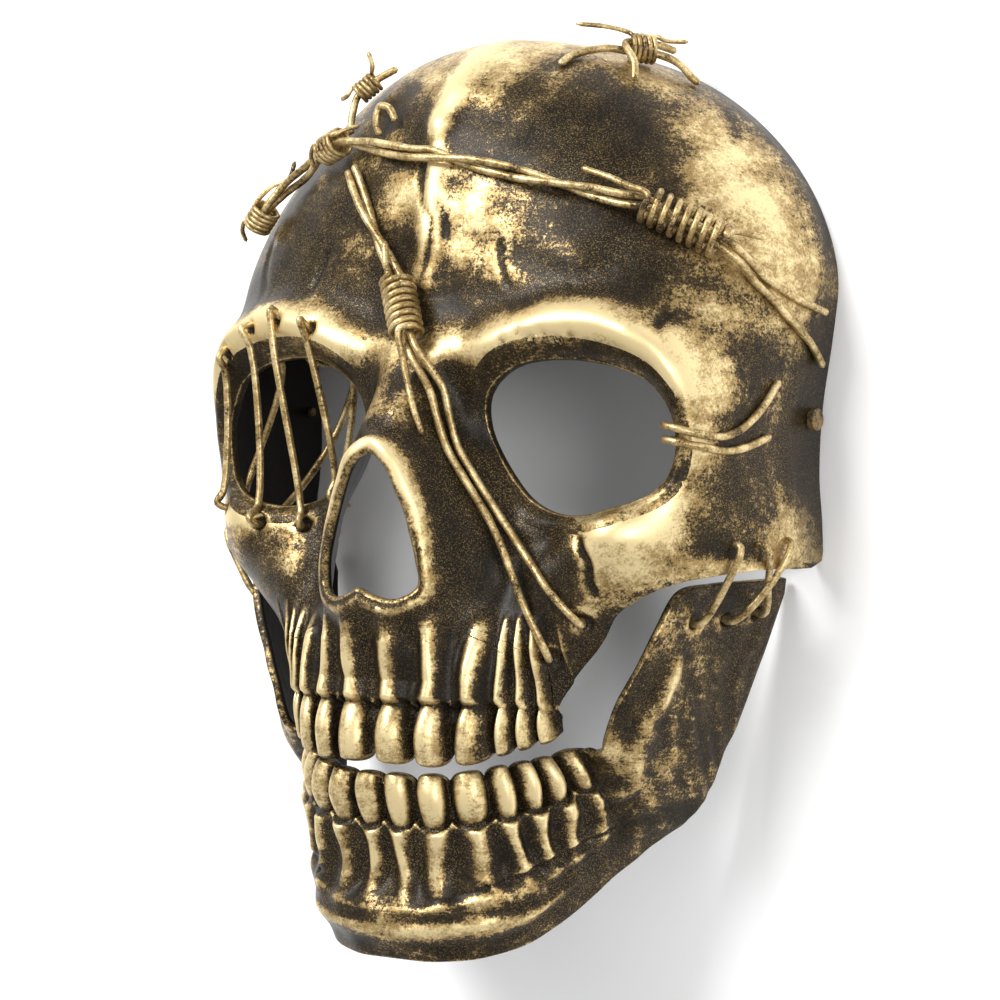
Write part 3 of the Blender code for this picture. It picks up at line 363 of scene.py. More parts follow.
def fine_height(x, y, gap=None):
    """Main form plus lips, cracks, pits and small holes. gap is the distance to the eye's outline."""
    z = skull_height(x, y)
    if gap is None:
        gap = eye_distance(x, y)
    inside = np.maximum(gap, 0)
    wave = np.sin(x / 5.1 + 1.3 * np.sin(y / 9.0)) * np.sin(y / 4.3 + 0.9 * np.sin(x / 7.0))
    wave = wave + 0.6 * np.sin(x / 2.9 + y / 5.3) * np.sin(y / 2.7 - x / 8.1)
    z = z + 0.22 * wave * ramp(z, 2, 14)
    z = z + 0.7 * bell(inside - 2.0, 2.2)
    nose_gap, _ = near_line(x, y, np.vstack([NOSE_EDGE[::2], NOSE_EDGE[:1]]))
    z = z + 1.5 * bell(nose_gap - 1.8, 1.7) - 0.9 * bell(nose_gap - 6.5, 2.4) * ramp(y, -38, -30)
    for depth, width, points in CRACKS:
        distance, along = near_line(x, y, spline(points, False, 5))
        fade = np.clip(5 * along, 0, 1) * np.clip(5 - 5 * along, 0, 1)
        z = z - fade * depth * (bell(distance, width) - 0.35 * bell(distance, 2.6 * width))
    for rise, width, bx, by in BUMPS:
        z = z + rise * bell(np.hypot(x - bx, y - by), width)
    for hx, hy in EYE_LACE_UPPER + EYE_LACE_LOWER + CHEEK_WIRE_HOLES:
        z = z - 2.2 * np.exp(-((np.hypot(x - hx, y - hy) / 1.9) ** 4))
    return np.maximum(z, 0.0)


# %% [markdown]
# ## The mask leans
#
# A skull's face rakes back and its sides sweep up. Both are one gentle shear that is put over every
# point at the very end, so that the tables above can stay upright and symmetrical.

# %% Lean the form
RAKE = 0.087
SWEEP = 0.049
SWEEP_START = 12.0
FRAME_SHIFT = 0.09


def leaned(points):
    """y grows by RAKE times the height and by SWEEP times the distance from the midline."""
    points = np.array(points, float)
    sweep = SWEEP * (np.hypot(points[..., 0], SWEEP_START) - SWEEP_START)
    points[..., 1] += RAKE * points[..., 2] + sweep + FRAME_SHIFT
    return points


# %% [markdown]
# ## From grids to meshes
#
# Every shell is one closed band: across it the profile runs over the outside, round a soft edge,
# back along the inside and round the other edge. The band closes on itself, so no seam stays open.
# Each point also keeps four numbers for the paint: how much it stands proud of its surroundings,
# finely and broadly, how much more gold the hand left there, and whether it lies on the outside.


# %% Close a band and colour it
def grid_normals(grid, wrap):
    """Cross product of the two directions of a grid of points."""
    along = np.roll(grid, -1, 0) - np.roll(grid, 1, 0) if wrap else np.gradient(grid, axis=0)
    across = np.gradient(grid, axis=1)
    normal = np.cross(along, across)
    return normal / np.maximum(np.linalg.norm(normal, axis=-1, keepdims=True), 1e-9)


def spread_along(values, width, axis, wrap):
    """Mean of each value with its neighbours up to width steps away along one axis."""
    mode = "wrap" if wrap else "edge"
    pad = [(0, 0)] * values.ndim
    pad[axis] = (width + 1, width)
    total = np.cumsum(np.pad(values, pad, mode=mode), axis=axis)
    high = np.take(total, np.arange(2 * width + 1, total.shape[axis]), axis=axis)
    low = np.take(total, np.arange(0, total.shape[axis] - 2 * width - 1), axis=axis)
    return (high - low) / (2 * width + 1)


def proud(grid, normal, wide, wrap):
    """How far each point stands out of the mean of the points round it, in mm."""
    mean = spread_along(spread_along(grid, wide[0], 0, wrap), wide[1], 1, False)
    return ((grid - mean) * normal).sum(-1)


def rounded_edge(top, under, onward, bulge, steps=5):
    """Half an ellipse from an outer edge to the inner one: middle + half cos(a) + onward sin(a)."""
    middle, half = 0.5 * (top + under), 0.5 * (top - under)
    reach = np.linalg.norm(half, axis=-1, keepdims=True)
    straight = onward - half * (onward * half).sum(-1, keepdims=True) / np.maximum(reach, 1e-6) ** 2
    straight /= np.maximum(np.linalg.norm(straight, axis=-1, keepdims=True), 1e-9)
    a = np.linspace(0, np.pi, steps + 2)[1:-1]
    across = half[:, None] * np.cos(a)[:, None]
    return middle[:, None] + across + (straight * reach * bulge)[:, None] * np.sin(a)[:, None]


def store(mesh, name, values):
    """Keeps one number a vertex."""
    values = np.ascontiguousarray(values, np.float32).ravel()
    mesh.attributes.new(name, "FLOAT", "POINT").data.foreach_set("value", values)


def mesh_object(name, points, faces, marks, material):
    """A smooth mesh at the origin from points in mm, with its paint numbers."""
    mesh = bpy.data.meshes.new(name)
    mesh.from_pydata((points * MM).tolist(), [], faces)
    for key, values in marks.items():
        store(mesh, key, values)
    mesh.shade_smooth()
    mesh.materials.append(material)
    made = bpy.data.objects.new(name, mesh)
    bpy.context.scene.collection.objects.link(made)
    return made


def band_faces(rays, rings, wrap):
    """Four-sided faces between neighbouring rays, each ray a closed ring of points."""
    i = np.arange(rays if wrap else rays - 1)[:, None]
    k = np.arange(rings)[None, :]
    j, m = (i + 1) % rays, (k + 1) % rings
    return np.stack([i * rings + k, j * rings + k, j * rings + m, i * rings + m], -1).reshape(-1, 4)


def outward_first(points, faces):
    """Turns the faces over where the enclosed volume comes out less than 0."""
    a, b, c = (points[faces[:, k]] for k in (0, 1, 2))
    d = points[faces[:, 3]]
    volume = (a * np.cross(b, c)).sum() + (a * np.cross(c, d)).sum()
    return faces if volume > 0 else faces[:, ::-1]


def capped(points, rays, rings):
    """Faces of an open band with a flat end on its first and last ring, all of them outwards."""
    faces = band_faces(rays, rings, False)
    ends = [list(range(rings)), list(range(rays * rings - 1, (rays - 1) * rings - 1, -1))]
    turned = outward_first(points, faces)
    if turned is not faces:
        ends = [end[::-1] for end in ends]
    return turned.tolist() + ends


# %% [markdown]
# ## Gold paint over black
#
# The real cast is sprayed near-black, and pale gold is then dabbed and dragged over it with an almost
# dry brush. Gold lands on whatever stands proud: ridges, lips, tooth crowns, wires. It misses the
# hollows, and it breaks up into fine dots and scratches because the cast is slightly rough. So the
# paint is one mask between two finishes: the proud numbers lift it, large soft noise makes patches,
# and fine noise breaks its edge.


# %% Make the paint
class Nodes:
    """Short calls to lay and join shader nodes."""

    def __init__(self, name):
        self.material = bpy.data.materials.new(name)
        self.material.use_nodes = True
        self.tree = self.material.node_tree
        self.shader = self.tree.nodes["Principled BSDF"]
        self.place = self.add("ShaderNodeTexCoord").outputs["Object"]

    def add(self, kind, **values):
        node = self.tree.nodes.new(kind)
        for key, value in values.items():
            setattr(node, key, value)
        return node

    def feed(self, socket, value):
        if isinstance(value, bpy.types.NodeSocket):
            self.tree.links.new(value, socket)
        else:
            socket.default_value = value

    def math(self, operation, a, b=0.0, clamp=False):
        node = self.add("ShaderNodeMath", operation=operation, use_clamp=clamp)
        self.feed(node.inputs[0], a)
        self.feed(node.inputs[1], b)
        return node.outputs[0]

    def number(self, name):
        return self.add("ShaderNodeAttribute", attribute_name=name).outputs["Fac"]

    def stretched(self, scale, turn=(0, 0, 0)):
        node = self.add("ShaderNodeMapping")
        self.feed(node.inputs["Vector"], self.place)
        node.inputs["Scale"].default_value = scale
        node.inputs["Rotation"].default_value = turn
        return node.outputs[0]

    def noise(self, scale, detail=3.0, roughness=0.55, place=None, distortion=0.0):
        node = self.add("ShaderNodeTexNoise")
        self.feed(node.inputs["Vector"], place or self.place)
        node.inputs["Scale"].default_value = scale
        node.inputs["Detail"].default_value = detail
        node.inputs["Roughness"].default_value = roughness
        node.inputs["Distortion"].default_value = distortion
        return node.outputs["Fac"]

    def between(self, value, low, high, to_low=0.0, to_high=1.0):
        node = self.add("ShaderNodeMapRange", interpolation_type="SMOOTHSTEP")
        self.feed(node.inputs["Value"], value)
        for key, number in zip(("From Min", "From Max", "To Min", "To Max"), (low, high, to_low, to_high)):
            self.feed(node.inputs[key], number)
        return node.outputs[0]

    def mix(self, share, a, b):
        node = self.add("ShaderNodeMix", data_type="RGBA")
        self.feed(node.inputs[0], share)
        for socket, colour in ((node.inputs[6], a), (node.inputs[7], b)):
            self.feed(socket, colour if isinstance(colour, bpy.types.NodeSocket) else (*colour, 1.0))
        return node.outputs[2]


UNDERCOAT = (0.008, 0.006, 0.004)
BROWN_WASH = (0.034, 0.023, 0.011)
OLD_GOLD = (0.35, 0.235, 0.09)
PALE_GOLD = (0.86, 0.69, 0.37)


def antique_gold(name, coverage, streaks):
    """Black under gold. coverage lifts the whole paint, streaks is how far dragged scratches show."""
    n = Nodes(name)
    fine, broad, hand, outside = (n.number(key) for key in ("proud_fine", "proud_broad", "hand", "outside"))
    dots = n.noise(1300.0, 3.0, 0.8)
    specks = n.noise(430.0, 5.0, 0.75)
    clouds = n.noise(38.0, 4.0, 0.6, distortion=0.6)
    drags = n.noise(46.0, 6.0, 0.75, place=n.stretched((1.0, 10.0, 3.0), (0.3, 0.2, 0.75)))
    total = n.math("ADD", n.math("MULTIPLY", fine, 1.1), coverage)
    for value, weight in ((broad, 0.24), (hand, 1.0)):
        total = n.math("ADD", total, n.math("MULTIPLY", value, weight))
    for value, weight in ((clouds, 1.3), (specks, 1.25), (dots, 1.5), (drags, streaks)):
        total = n.math("ADD", total, n.math("MULTIPLY", n.math("SUBTRACT", value, 0.5), weight))
    gold = n.math("MULTIPLY", n.between(total, 0.28, 0.60), outside)
    powder = n.between(n.noise(2400.0, 2.0, 0.8), 0.52, 0.66)
    dust = n.math("MULTIPLY", powder, n.between(clouds, 0.36, 0.62, 0.12, 0.62))
    dust = n.math("MULTIPLY", dust, outside)
    wash = n.math("MULTIPLY", n.between(total, -0.25, 0.45), outside)
    cloudy = n.math("MULTIPLY", n.math("SUBTRACT", n.noise(170.0, 5.0, 0.7), 0.5), 1.5)
    bright = n.between(n.math("ADD", total, cloudy), 0.45, 1.25)
    colour = n.mix(wash, UNDERCOAT, BROWN_WASH)
    colour = n.mix(dust, colour, OLD_GOLD)
    colour = n.mix(gold, colour, n.mix(bright, OLD_GOLD, PALE_GOLD))
    n.feed(n.shader.inputs["Base Color"], colour)
    n.feed(n.shader.inputs["Metallic"], n.math("MULTIPLY", n.math("MAXIMUM", gold, dust), 0.82))
    n.feed(n.shader.inputs["Specular IOR Level"], n.between(gold, 0.0, 1.0, 0.14, 0.5))
    rough = n.math("ADD", gold, n.math("MULTIPLY", specks, 0.25))
    n.feed(n.shader.inputs["Roughness"], n.between(rough, 0.0, 1.2, 0.34, 0.40))
    bump = n.add("ShaderNodeBump")
    bump.inputs["Strength"].default_value = 0.35
    bump.inputs["Distance"].default_value = 0.0004
    grain = n.math("ADD", n.math("MULTIPLY", specks, 0.7), n.math("MULTIPLY", drags, 0.5))
    n.feed(bump.inputs["Height"], n.math("ADD", grain, n.math("MULTIPLY", dots, 0.35)))
    n.feed(n.shader.inputs["Normal"], bump.outputs[0])
    return n.material


shell_gold = antique_gold("antique_gold_shell_paint", 0.02, 0.6)
jaw_gold = antique_gold("antique_gold_jaw_paint", 0.06, 1.2)
wire_gold = antique_gold("antique_gold_wire_paint", 0.30, 0.3)
print("finishes:", [m.name for m in (shell_gold, jaw_gold, wire_gold)])

# %% [markdown]
# ## The skull shell
#
# The shell is a ring between the nose hole and its outer edge: crown, rear rim, cheek and the
# scalloped row of teeth. Rays run from the one to the other. Over the teeth they run straight down,
# so that roots and crowns follow them and stay crisp.

# %% Outer edge and rays
RIM_END_Y = -23.0
CHEEK_EDGE = (
    (90.0, -23), (89.2, -26), (86.5, -28.5), (82.5, -30.5), (76, -33), (68, -36.8),
    (60.8, -42), (54.8, -49.4), (49, -57), (44.8, -64.5), (43.4, -70.5), (43.37, -73.0),
)
NOSE_MIDDLE = np.array([0.0, -20.0])


def skull_outline():
    """Half outline from the crown down to the midline of the teeth, then its mirror image."""
    turns = np.radians(np.linspace(90, 0, 56))
    y = BROAD_Y + (CROWN_Y - BROAD_Y) * np.sin(turns)
    crown = np.stack([half_width(y), y], -1)
    y = np.linspace(BROAD_Y, RIM_END_Y, 28)[1:]
    rim = np.stack([half_width(y), y], -1)
    cheek = even(spline(CHEEK_EDGE, False, 12), 58, False)[1:-1]
    angle = np.linspace(67.3, 0.0, 104)
    scallop, _ = tooth_form(angle, UPPER_TEETH)
    y = smooth_column(UPPER_BITE, 1, angle) + 1.2 * TOOTH_NOTCH * (1 - scallop) ** 1.3
    teeth = np.stack([ARCH_RADIUS * np.sin(np.radians(angle)), y], -1)
    half = np.vstack([crown, rim, cheek, teeth])
    half[0, 0] = half[-1, 0] = 0.0
    return np.vstack([half, half[-2:0:-1] * (-1, 1)])


outline = skull_outline()
bearing = np.arctan2(*(NOSE_EDGE - NOSE_MIDDLE).T[::-1])
order = np.argsort(bearing)
wanted = np.arctan2(*(outline - NOSE_MIDDLE).T[::-1])
from_middle = np.linalg.norm(NOSE_EDGE - NOSE_MIDDLE, axis=1)
reach = np.interp(wanted, bearing[order], from_middle[order], period=2 * math.pi)
nose_ring = NOSE_MIDDLE + reach[:, None] * np.stack([np.cos(wanted), np.sin(wanted)], -1)
print("rays:", len(outline))

# %% Skull surface
OUTER_RINGS = 140
INNER_RINGS = 30


def plain_normal(x, y):
    """Unit vector (-slope in x, -slope in y, 1) of the form without roots and teeth, over 5 mm."""
    d = 2.5
    slope_x = (skull_height(x + d, y, False) - skull_height(x - d, y, False)) / (2 * d)
    slope_y = (skull_height(x, y + d, False) - skull_height(x, y - d, False)) / (2 * d)
    normal = np.stack([-slope_x, -slope_y, np.ones(np.shape(x))], -1)
    return normal / np.linalg.norm(normal, axis=-1, keepdims=True)


def ray_grid(count):
    """Points from the nose ring to the outline. Teeth rays go across first, then down."""
    steps = np.linspace(0, 1, count)
    at_rim = ramp(outline[:, 1], -60, -15)[:, None]
    bowed = 0.35 * steps + 0.65 * np.sin(0.5 * math.pi * steps)
    ahead = np.minimum(steps / 0.4, 1)
    across = (1 - at_rim) * ahead * ahead * (3 - 2 * ahead) + at_rim * bowed
    down = (1 - at_rim) * steps + at_rim * bowed
    return nose_ring[:, None, :] + (outline - nose_ring)[:, None, :] * np.stack([across, down], -1)


flat = ray_grid(OUTER_RINGS)
eye_gap = eye_distance(flat[..., 0], flat[..., 1])
height = fine_height(flat[..., 0], flat[..., 1], eye_gap)
on_rim = outline[:, 1] >= RIM_END_Y - 0.01
height[on_rim, -1] = 0.0
outer = np.concatenate([flat, height[..., None]], -1)
inner_flat = ray_grid(INNER_RINGS)
plain = skull_height(inner_flat[..., 0], inner_flat[..., 1], False)
base = np.concatenate([inner_flat, plain[..., None]], -1)
base[on_rim, -1, 2] = 0.0
inner = base - SHELL_WALL * plain_normal(inner_flat[..., 0], inner_flat[..., 1])
inner[..., 2] = np.minimum(inner[..., 2], fine_height(inner[..., 0], inner[..., 1]) - 1.1)
inner[on_rim, -1, 2] = 0.0
inner[..., 2] = np.maximum(inner[..., 2], 0.0)

edge_bulge = np.where(on_rim, 0.0, 0.25)[:, None]
outer_edge = rounded_edge(outer[:, -1], inner[:, -1], outer[:, -1] - outer[:, -3], edge_bulge)
nose_edge = rounded_edge(inner[:, 0], outer[:, 0], outer[:, 0] - outer[:, 2], 0.8)
profile = np.concatenate([outer, outer_edge, inner[:, ::-1], nose_edge], 1)
profile[..., 2] = np.maximum(profile[..., 2], 0.0)
print("skull points:", profile.shape[0] * profile.shape[1])

# %% [markdown]
# ## Where the hand put more gold
#
# The brush also left broad patches that follow no ridge, such as the temple and the side of the
# crown, and missed others. A short table says where: x, y, height, size and how much.

# %% Patches of the brush
PATCHES = (
    # x, y, z, radius, more
    (4.0, 118.0, 42.0, 12.0, 0.55),
    (0.0, 106.0, 57.0, 14.0, 0.4),
    (66.0, 92.0, 30.0, 14.0, 0.35),
    (74.0, 76.0, 34.0, 13.0, 0.45),
    (84.0, 66.0, 24.0, 9.0, 0.35),
    (76.0, 45.0, 52.0, 13.0, 0.7),
    (83.0, 34.0, 46.0, 9.0, 0.5),
    (84.0, 22.0, 48.0, 8.0, 0.35),
    (-8.0, 72.0, 66.0, 8.0, 0.8),
    (9.0, 72.0, 66.0, 11.0, 0.75),
    (12.0, 60.0, 68.0, 11.0, 0.45),
    (30.0, 62.0, 67.0, 13.0, 0.3),
    (10.0, 40.0, 73.0, 11.0, 0.55),
    (30.0, 40.0, 73.0, 13.0, 0.5),
    (50.0, 40.0, 72.0, 13.0, 0.45),
    (69.0, -27.0, 65.0, 14.0, 0.6),
    (79.0, 4.0, 56.0, 7.0, 0.5),
    (70.0, -12.0, 64.0, 7.0, 0.6),
    (56.0, -18.0, 67.0, 6.0, 0.6),
    (60.0, -33.0, 65.0, 10.0, 0.5),
    (28.0, -52.0, 82.0, 9.0, 0.45),
    (-34.0, 40.0, 70.0, 14.0, 0.45),
    (-28.0, 56.0, 68.0, 9.0, 0.3),
    (28.0, 100.0, 50.0, 26.0, -0.45),
    (50.0, 88.0, 46.0, 20.0, -0.4),
    (60.0, 62.0, 58.0, 15.0, -0.45),
    (46.0, 54.0, 66.0, 10.0, -0.3),
    (-40.0, 66.0, 62.0, 18.0, -0.3),
    (-22.0, 98.0, 54.0, 16.0, -0.35),
    (86.0, 8.0, 34.0, 16.0, -0.2),
    (86.0, -10.0, 28.0, 14.0, -0.1),
    (40.0, -26.0, 68.0, 11.0, -0.8),
    (23.0, 2.0, 70.0, 11.0, -0.7),
    (20.0, -24.0, 82.0, 8.0, -0.35),
)


def hand_paint(points):
    """Sum of soft balls of gold, one for each row, at each point, with less gold on the shell's lowest 24 mm,
    next to the table.
    """
    total = np.zeros(points.shape[:-1])
    for x, y, z, radius, more in PATCHES:
        total += more * np.exp(-((points - (x, y, z)) ** 2).sum(-1) / radius**2)
    return total - 0.55 * ramp(-points[..., 2], -24.0, -4.0)


def band_marks(count_outer, grid, whole, wrap, near, far, patches):
    """Paint numbers for a closed band: worked out on its outside, plain on the rest."""
    normal = grid_normals(grid, wrap)
    normal *= np.sign((normal * (grid - np.array([0.0, -20.0, 10.0]))).sum())
    fine = np.full(whole.shape[:2], 0.35)
    broad = np.zeros(whole.shape[:2])
    hand = np.zeros(whole.shape[:2])
    outside = np.zeros(whole.shape[:2])
    fine[:, :count_outer] = np.clip(proud(grid, normal, near, wrap), -1.2, 1.0)
    broad[:, :count_outer] = np.clip(proud(grid, normal, far, wrap), -2.2, 1.8)
    hand[:, :count_outer] = patches(grid)
    outside[:, : count_outer + 3] = 1.0
    outside[:, -3:] = 1.0
    return {"proud_fine": fine, "proud_broad": broad, "hand": hand, "outside": outside}


marks = band_marks(OUTER_RINGS, outer, profile, True, (3, 3), (12, 10), hand_paint)
carved = height - skull_height(flat[..., 0], flat[..., 1], False)
carved = carved - spread_along(spread_along(carved, 9, 0, True), 7, 1, False)
marks["hand"][:, :OUTER_RINGS] += 0.28 * np.clip(carved, -2.5, 2.0)
points = profile.reshape(-1, 3)
faces = outward_first(points, band_faces(*profile.shape[:2], True))
CUT_BACK = 0.9
gap_all = eye_distance(points[:, 0], points[:, 1])
keep = (gap_all[faces] > CUT_BACK).all(1) | (points[faces][:, :, 2].max(1) < 20)
faces = faces[keep]
skull = mesh_object("skull_surface", leaned(points), faces.tolist(), marks, shell_gold)


def close_openings(item):
    """Joins the cut edges of the outer and the inner sheet round each eye with a strip of faces."""
    shape = bmesh.new()
    shape.from_mesh(item.data)
    for side in (1, -1):
        cut = [edge for edge in shape.edges if edge.is_boundary and edge.verts[0].co.x * side > 0]
        strip = bmesh.ops.bridge_loops(shape, edges=cut)["faces"]
        for face in strip:
            face.smooth = True
    loose = [vertex for vertex in shape.verts if not vertex.link_faces]
    bmesh.ops.delete(shape, geom=loose, context="VERTS")
    still_open = sum(edge.is_boundary for edge in shape.edges)
    shape.to_mesh(item.data)
    shape.free()
    return still_open


print("open edges left:", close_openings(skull), "faces:", len(skull.data.polygons))

# %% [markdown]
# ## Lips of the eye openings
#
# Each eye opening ends in a smooth rolled lip. It is its own closed band, carried round the outline:
# it starts on the face a little way off, follows the same height, rolls over the edge and runs back
# inside. That gives a clean edge that a cut through the big grid couldn't.


# %% Eye lips
LIP_WIDTH = 5.2


def eye_lip(side):
    """Profile over the outline: out along the face, half round at the edge, back along the inside."""
    edge = EYE_EDGE * (side, 1)
    along = np.roll(edge, -1, 0) - np.roll(edge, 1, 0)
    away = np.stack([along[:, 1], -along[:, 0]], -1)
    away /= np.linalg.norm(away, axis=1, keepdims=True)
    away *= np.sign((away * (edge - np.array(EYE_MIDDLE) * (side, 1))).sum())
    steps = np.linspace(LIP_WIDTH, 0.0, 14)
    flat = edge[:, None, :] + away[:, None, :] * steps[:, None]
    z = fine_height(flat[..., 0], flat[..., 1], np.broadcast_to(steps, flat.shape[:2]))
    face = np.concatenate([flat, z[..., None]], -1)
    face[..., 2] += 0.07 * ramp(steps, LIP_WIDTH, 3.8) - 0.12 * ramp(steps, 4.8, LIP_WIDTH)
    plain = skull_height(flat[..., 0], flat[..., 1], False)
    under = np.concatenate([flat, (plain - 1.12 * SHELL_WALL)[..., None]], -1)
    rolled = rounded_edge(face[:, -1], under[:, -1], face[:, -1] - face[:, -3], 0.4, 7)
    back_edge = rounded_edge(under[:, 0], face[:, 0], face[:, 0] - face[:, 2], 0.0, 1)
    whole = np.concatenate([face, rolled, under[:, ::-1], back_edge], 1)
    marks = band_marks(face.shape[1], face, whole, True, (3, 2), (8, 5), hand_paint)
    on_face = np.interp(steps, (0, 1.5, 3.0), (0.25, 0.1, 0.0))
    roll = np.concatenate([on_face, np.linspace(0.2, -1.4, rolled.shape[1])])
    marks["proud_fine"][:, : len(roll)] += roll
    marks["outside"][:, : len(roll)] = 1.0
    name = "eye_lip_right" if side > 0 else "eye_lip_left"
    points = whole.reshape(-1, 3)
    faces = outward_first(points, band_faces(*whole.shape[:2], True))
    return mesh_object(name, leaned(points), faces.tolist(), marks, shell_gold)


lips = [eye_lip(1), eye_lip(-1)]
for piece in [skull] + lips:
    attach(piece, "root")
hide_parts("skull_shell")
print("lips:", [lip.name for lip in lips])

# %% [markdown]
# ## The jaw
#
# The jaw is a band from one branch to the other, round the chin. Each station has a lower edge and an
# upper edge, with a bulge between them; the front stations carry roots and teeth.

# %% Jaw surface
JAW_STATIONS = (
    # station, lower x, y, z, upper x, y, z, bulge
    (0, 0.0, -138.5, 76.0, 0.0, -88.0, 87.0, 0.0),
    (1, 12.2, -138.5, 74.5, 12.2, -88.0, 85.4, 0.5),
    (2, 24.0, -137.0, 69.0, 23.5, -87.0, 80.7, 1.5),
    (3, 34.0, -132.0, 58.0, 33.2, -84.5, 73.2, 2.5),
    (4, 41.5, -123.0, 47.0, 40.7, -81.8, 63.5, 3.0),
    (5, 47.5, -114.0, 38.0, 44.7, -79.2, 54.5, 3.0),
    (6, 53.0, -106.0, 30.0, 50.0, -80.5, 54.5, 3.0),
    (7, 57.5, -101.0, 24.0, 55.0, -78.0, 57.0, 3.0),
    (8, 61.0, -96.5, 19.5, 59.5, -67.0, 57.0, 2.5),
    (9, 63.3, -92.5, 17.0, 64.5, -57.0, 55.0, 2.0),
    (10, 64.8, -88.0, 15.0, 69.5, -46.0, 53.0, 1.5),
    (11, 66.3, -82.0, 13.5, 73.5, -35.8, 48.5, 1.0),
    (12, 68.5, -74.0, 11.0, 76.3, -32.6, 36.0, 1.0),
    (13, 71.5, -63.0, 8.0, 78.3, -30.6, 21.0, 1.0),
    (14, 75.5, -48.0, 4.8, 80.0, -29.0, 8.0, 0.6),
    (15, 79.6, -32.5, 2.2, 80.4, -28.4, 2.8, 0.0),
)
JAW_LACE = ((11.2, 0.82), (12.3, 0.76), (13.35, 0.7))
JAW_RIDGES = (
    # rise, width as share of v (one v counts as 22 stations), points of station and v
    (1.7, 0.05, ((0.0, 0.16), (1.0, 0.15), (2.2, 0.17), (3.4, 0.13))),
    (1.8, 0.06, ((5.2, 0.55), (6.4, 0.66), (8.0, 0.78), (10.5, 0.72))),
    (1.3, 0.07, ((1.6, 0.34), (2.4, 0.30), (3.4, 0.36), (4.2, 0.30))),
    (-1.6, 0.05, ((3.2, 0.42), (3.8, 0.38), (4.4, 0.42))),
)


def jaw_surface(station, v, relief=True):
    """Lower edge plus (upper edge - lower edge) v, bulged outwards by 4 v (1 - v), plus relief."""
    columns = [smooth_column(JAW_STATIONS, k, station) for k in range(1, 8)]
    low = np.stack(columns[0:3], -1)
    high = np.stack(columns[3:6], -1)
    place = low + (high - low) * v[..., None]
    inward = np.clip(1 - station / 9, 0, 1)
    forward = np.maximum(place[..., 2] - 35, 0) * inward + 0.01
    out = np.stack([np.minimum(place[..., 0], 60), 0 * v, forward], -1)
    out /= np.linalg.norm(out, axis=-1, keepdims=True)
    front = np.clip(1 - station / 4.5, 0, 1)
    front = front * front * (3 - 2 * front)
    bulge = columns[6] * 4 * v * (1 - v)
    bulge = bulge - 3.0 * front * bell(v - 0.52, 0.2) + 4.5 * front * bell(v - 0.2, 0.16)
    angle = np.interp(station, (0, 4, 5, 6), (0, 60, 72, 84))
    scallop, _ = tooth_form(angle, LOWER_TEETH)
    _, roots = tooth_form(angle + 0.9 * np.sin(v * 11.0 + 2.3 * station), LOWER_TEETH)
    body = np.clip((5.3 - station) / 0.5, 0, 1)
    neck = 0.045 * scallop
    crown = tooth_bulge(angle, ramp(v, LOWER_GUM - neck, 1.0), LOWER_TEETH)
    if not relief:
        crown, roots = 0.0 * v, 0.0 * v
    root_rows = ramp(v, 0.24, 0.52) * ramp(-v, neck - LOWER_GUM - 0.01, 0.02 + neck - LOWER_GUM)
    tooth_rows = ramp(v, LOWER_GUM - neck, LOWER_GUM + 0.03 - neck)
    sunk = 4.3 if relief else 3.8
    bulge = bulge + body * (root_rows * (3.6 * roots - 1.6) + tooth_rows * (5.9 * crown - sunk))
    if relief:
        for rise, width, points in JAW_RIDGES:
            distance, along = near_line(station / 22.0, v, np.array(points) / (22.0, 1.0))
            fade = np.clip(6 * along, 0, 1) * np.clip(6 - 6 * along, 0, 1)
            bulge = bulge + rise * bell(distance, width) * fade
        for hole, height in JAW_LACE:
            from_hole = np.hypot((station - hole) * 8.0, (v - height) * 46.0)
            bulge = bulge - 2.0 * np.exp(-((from_hole / 1.9) ** 4))
        wave = np.sin(station * 2.1 + 2 * np.sin(v * 6.0)) * np.sin(v * 9.0 + 1.4 * np.sin(station * 1.7))
        wave = 0.3 * wave + 0.2 * np.sin(station * 4.7 + v * 11.0) * np.sin(v * 17.0 - station * 2.0)
        bulge = bulge + wave * np.clip(7.2 - 0.5 * station, 0, 1)
    place = place + out * bulge[..., None]
    place[..., 1] -= TOOTH_NOTCH * body * (1 - scallop) ** 1.4 * ramp(v, 0.8, 1.0)
    return place


def jaw_grid(count, relief):
    """Right half and its mirror image as one grid, from the left branch to the right one."""
    stations = np.concatenate([np.linspace(0, 5.4, 132), np.linspace(5.4, 15, 92)[1:]])
    s, v = np.meshgrid(stations, np.linspace(0, 1, count), indexing="ij")
    half = jaw_surface(s, v, relief)
    return np.concatenate([half[:0:-1] * (-1.0, 1.0, 1.0), half])


JAW_OUTER = 96
JAW_INNER = 24
jaw_outer = jaw_grid(JAW_OUTER, True)
jaw_base = jaw_grid(JAW_INNER, False)
normal = grid_normals(jaw_base, False)
normal *= np.sign((normal * (jaw_base - np.array([0, -90, 20]))).sum())
jaw_inner = jaw_base - SHELL_WALL * normal
jaw_inner[..., 2] = np.maximum(jaw_inner[..., 2], 0.6)
upper_edge = rounded_edge(jaw_outer[:, -1], jaw_inner[:, -1], jaw_outer[:, -1] - jaw_outer[:, -3], 0.25)
lower_edge = rounded_edge(jaw_inner[:, 0], jaw_outer[:, 0], jaw_outer[:, 0] - jaw_outer[:, 2], 0.6)
jaw_profile = np.concatenate([jaw_outer, upper_edge, jaw_inner[:, ::-1], lower_edge], 1)
jaw_profile[..., 2] = np.maximum(jaw_profile[..., 2], 0.45)


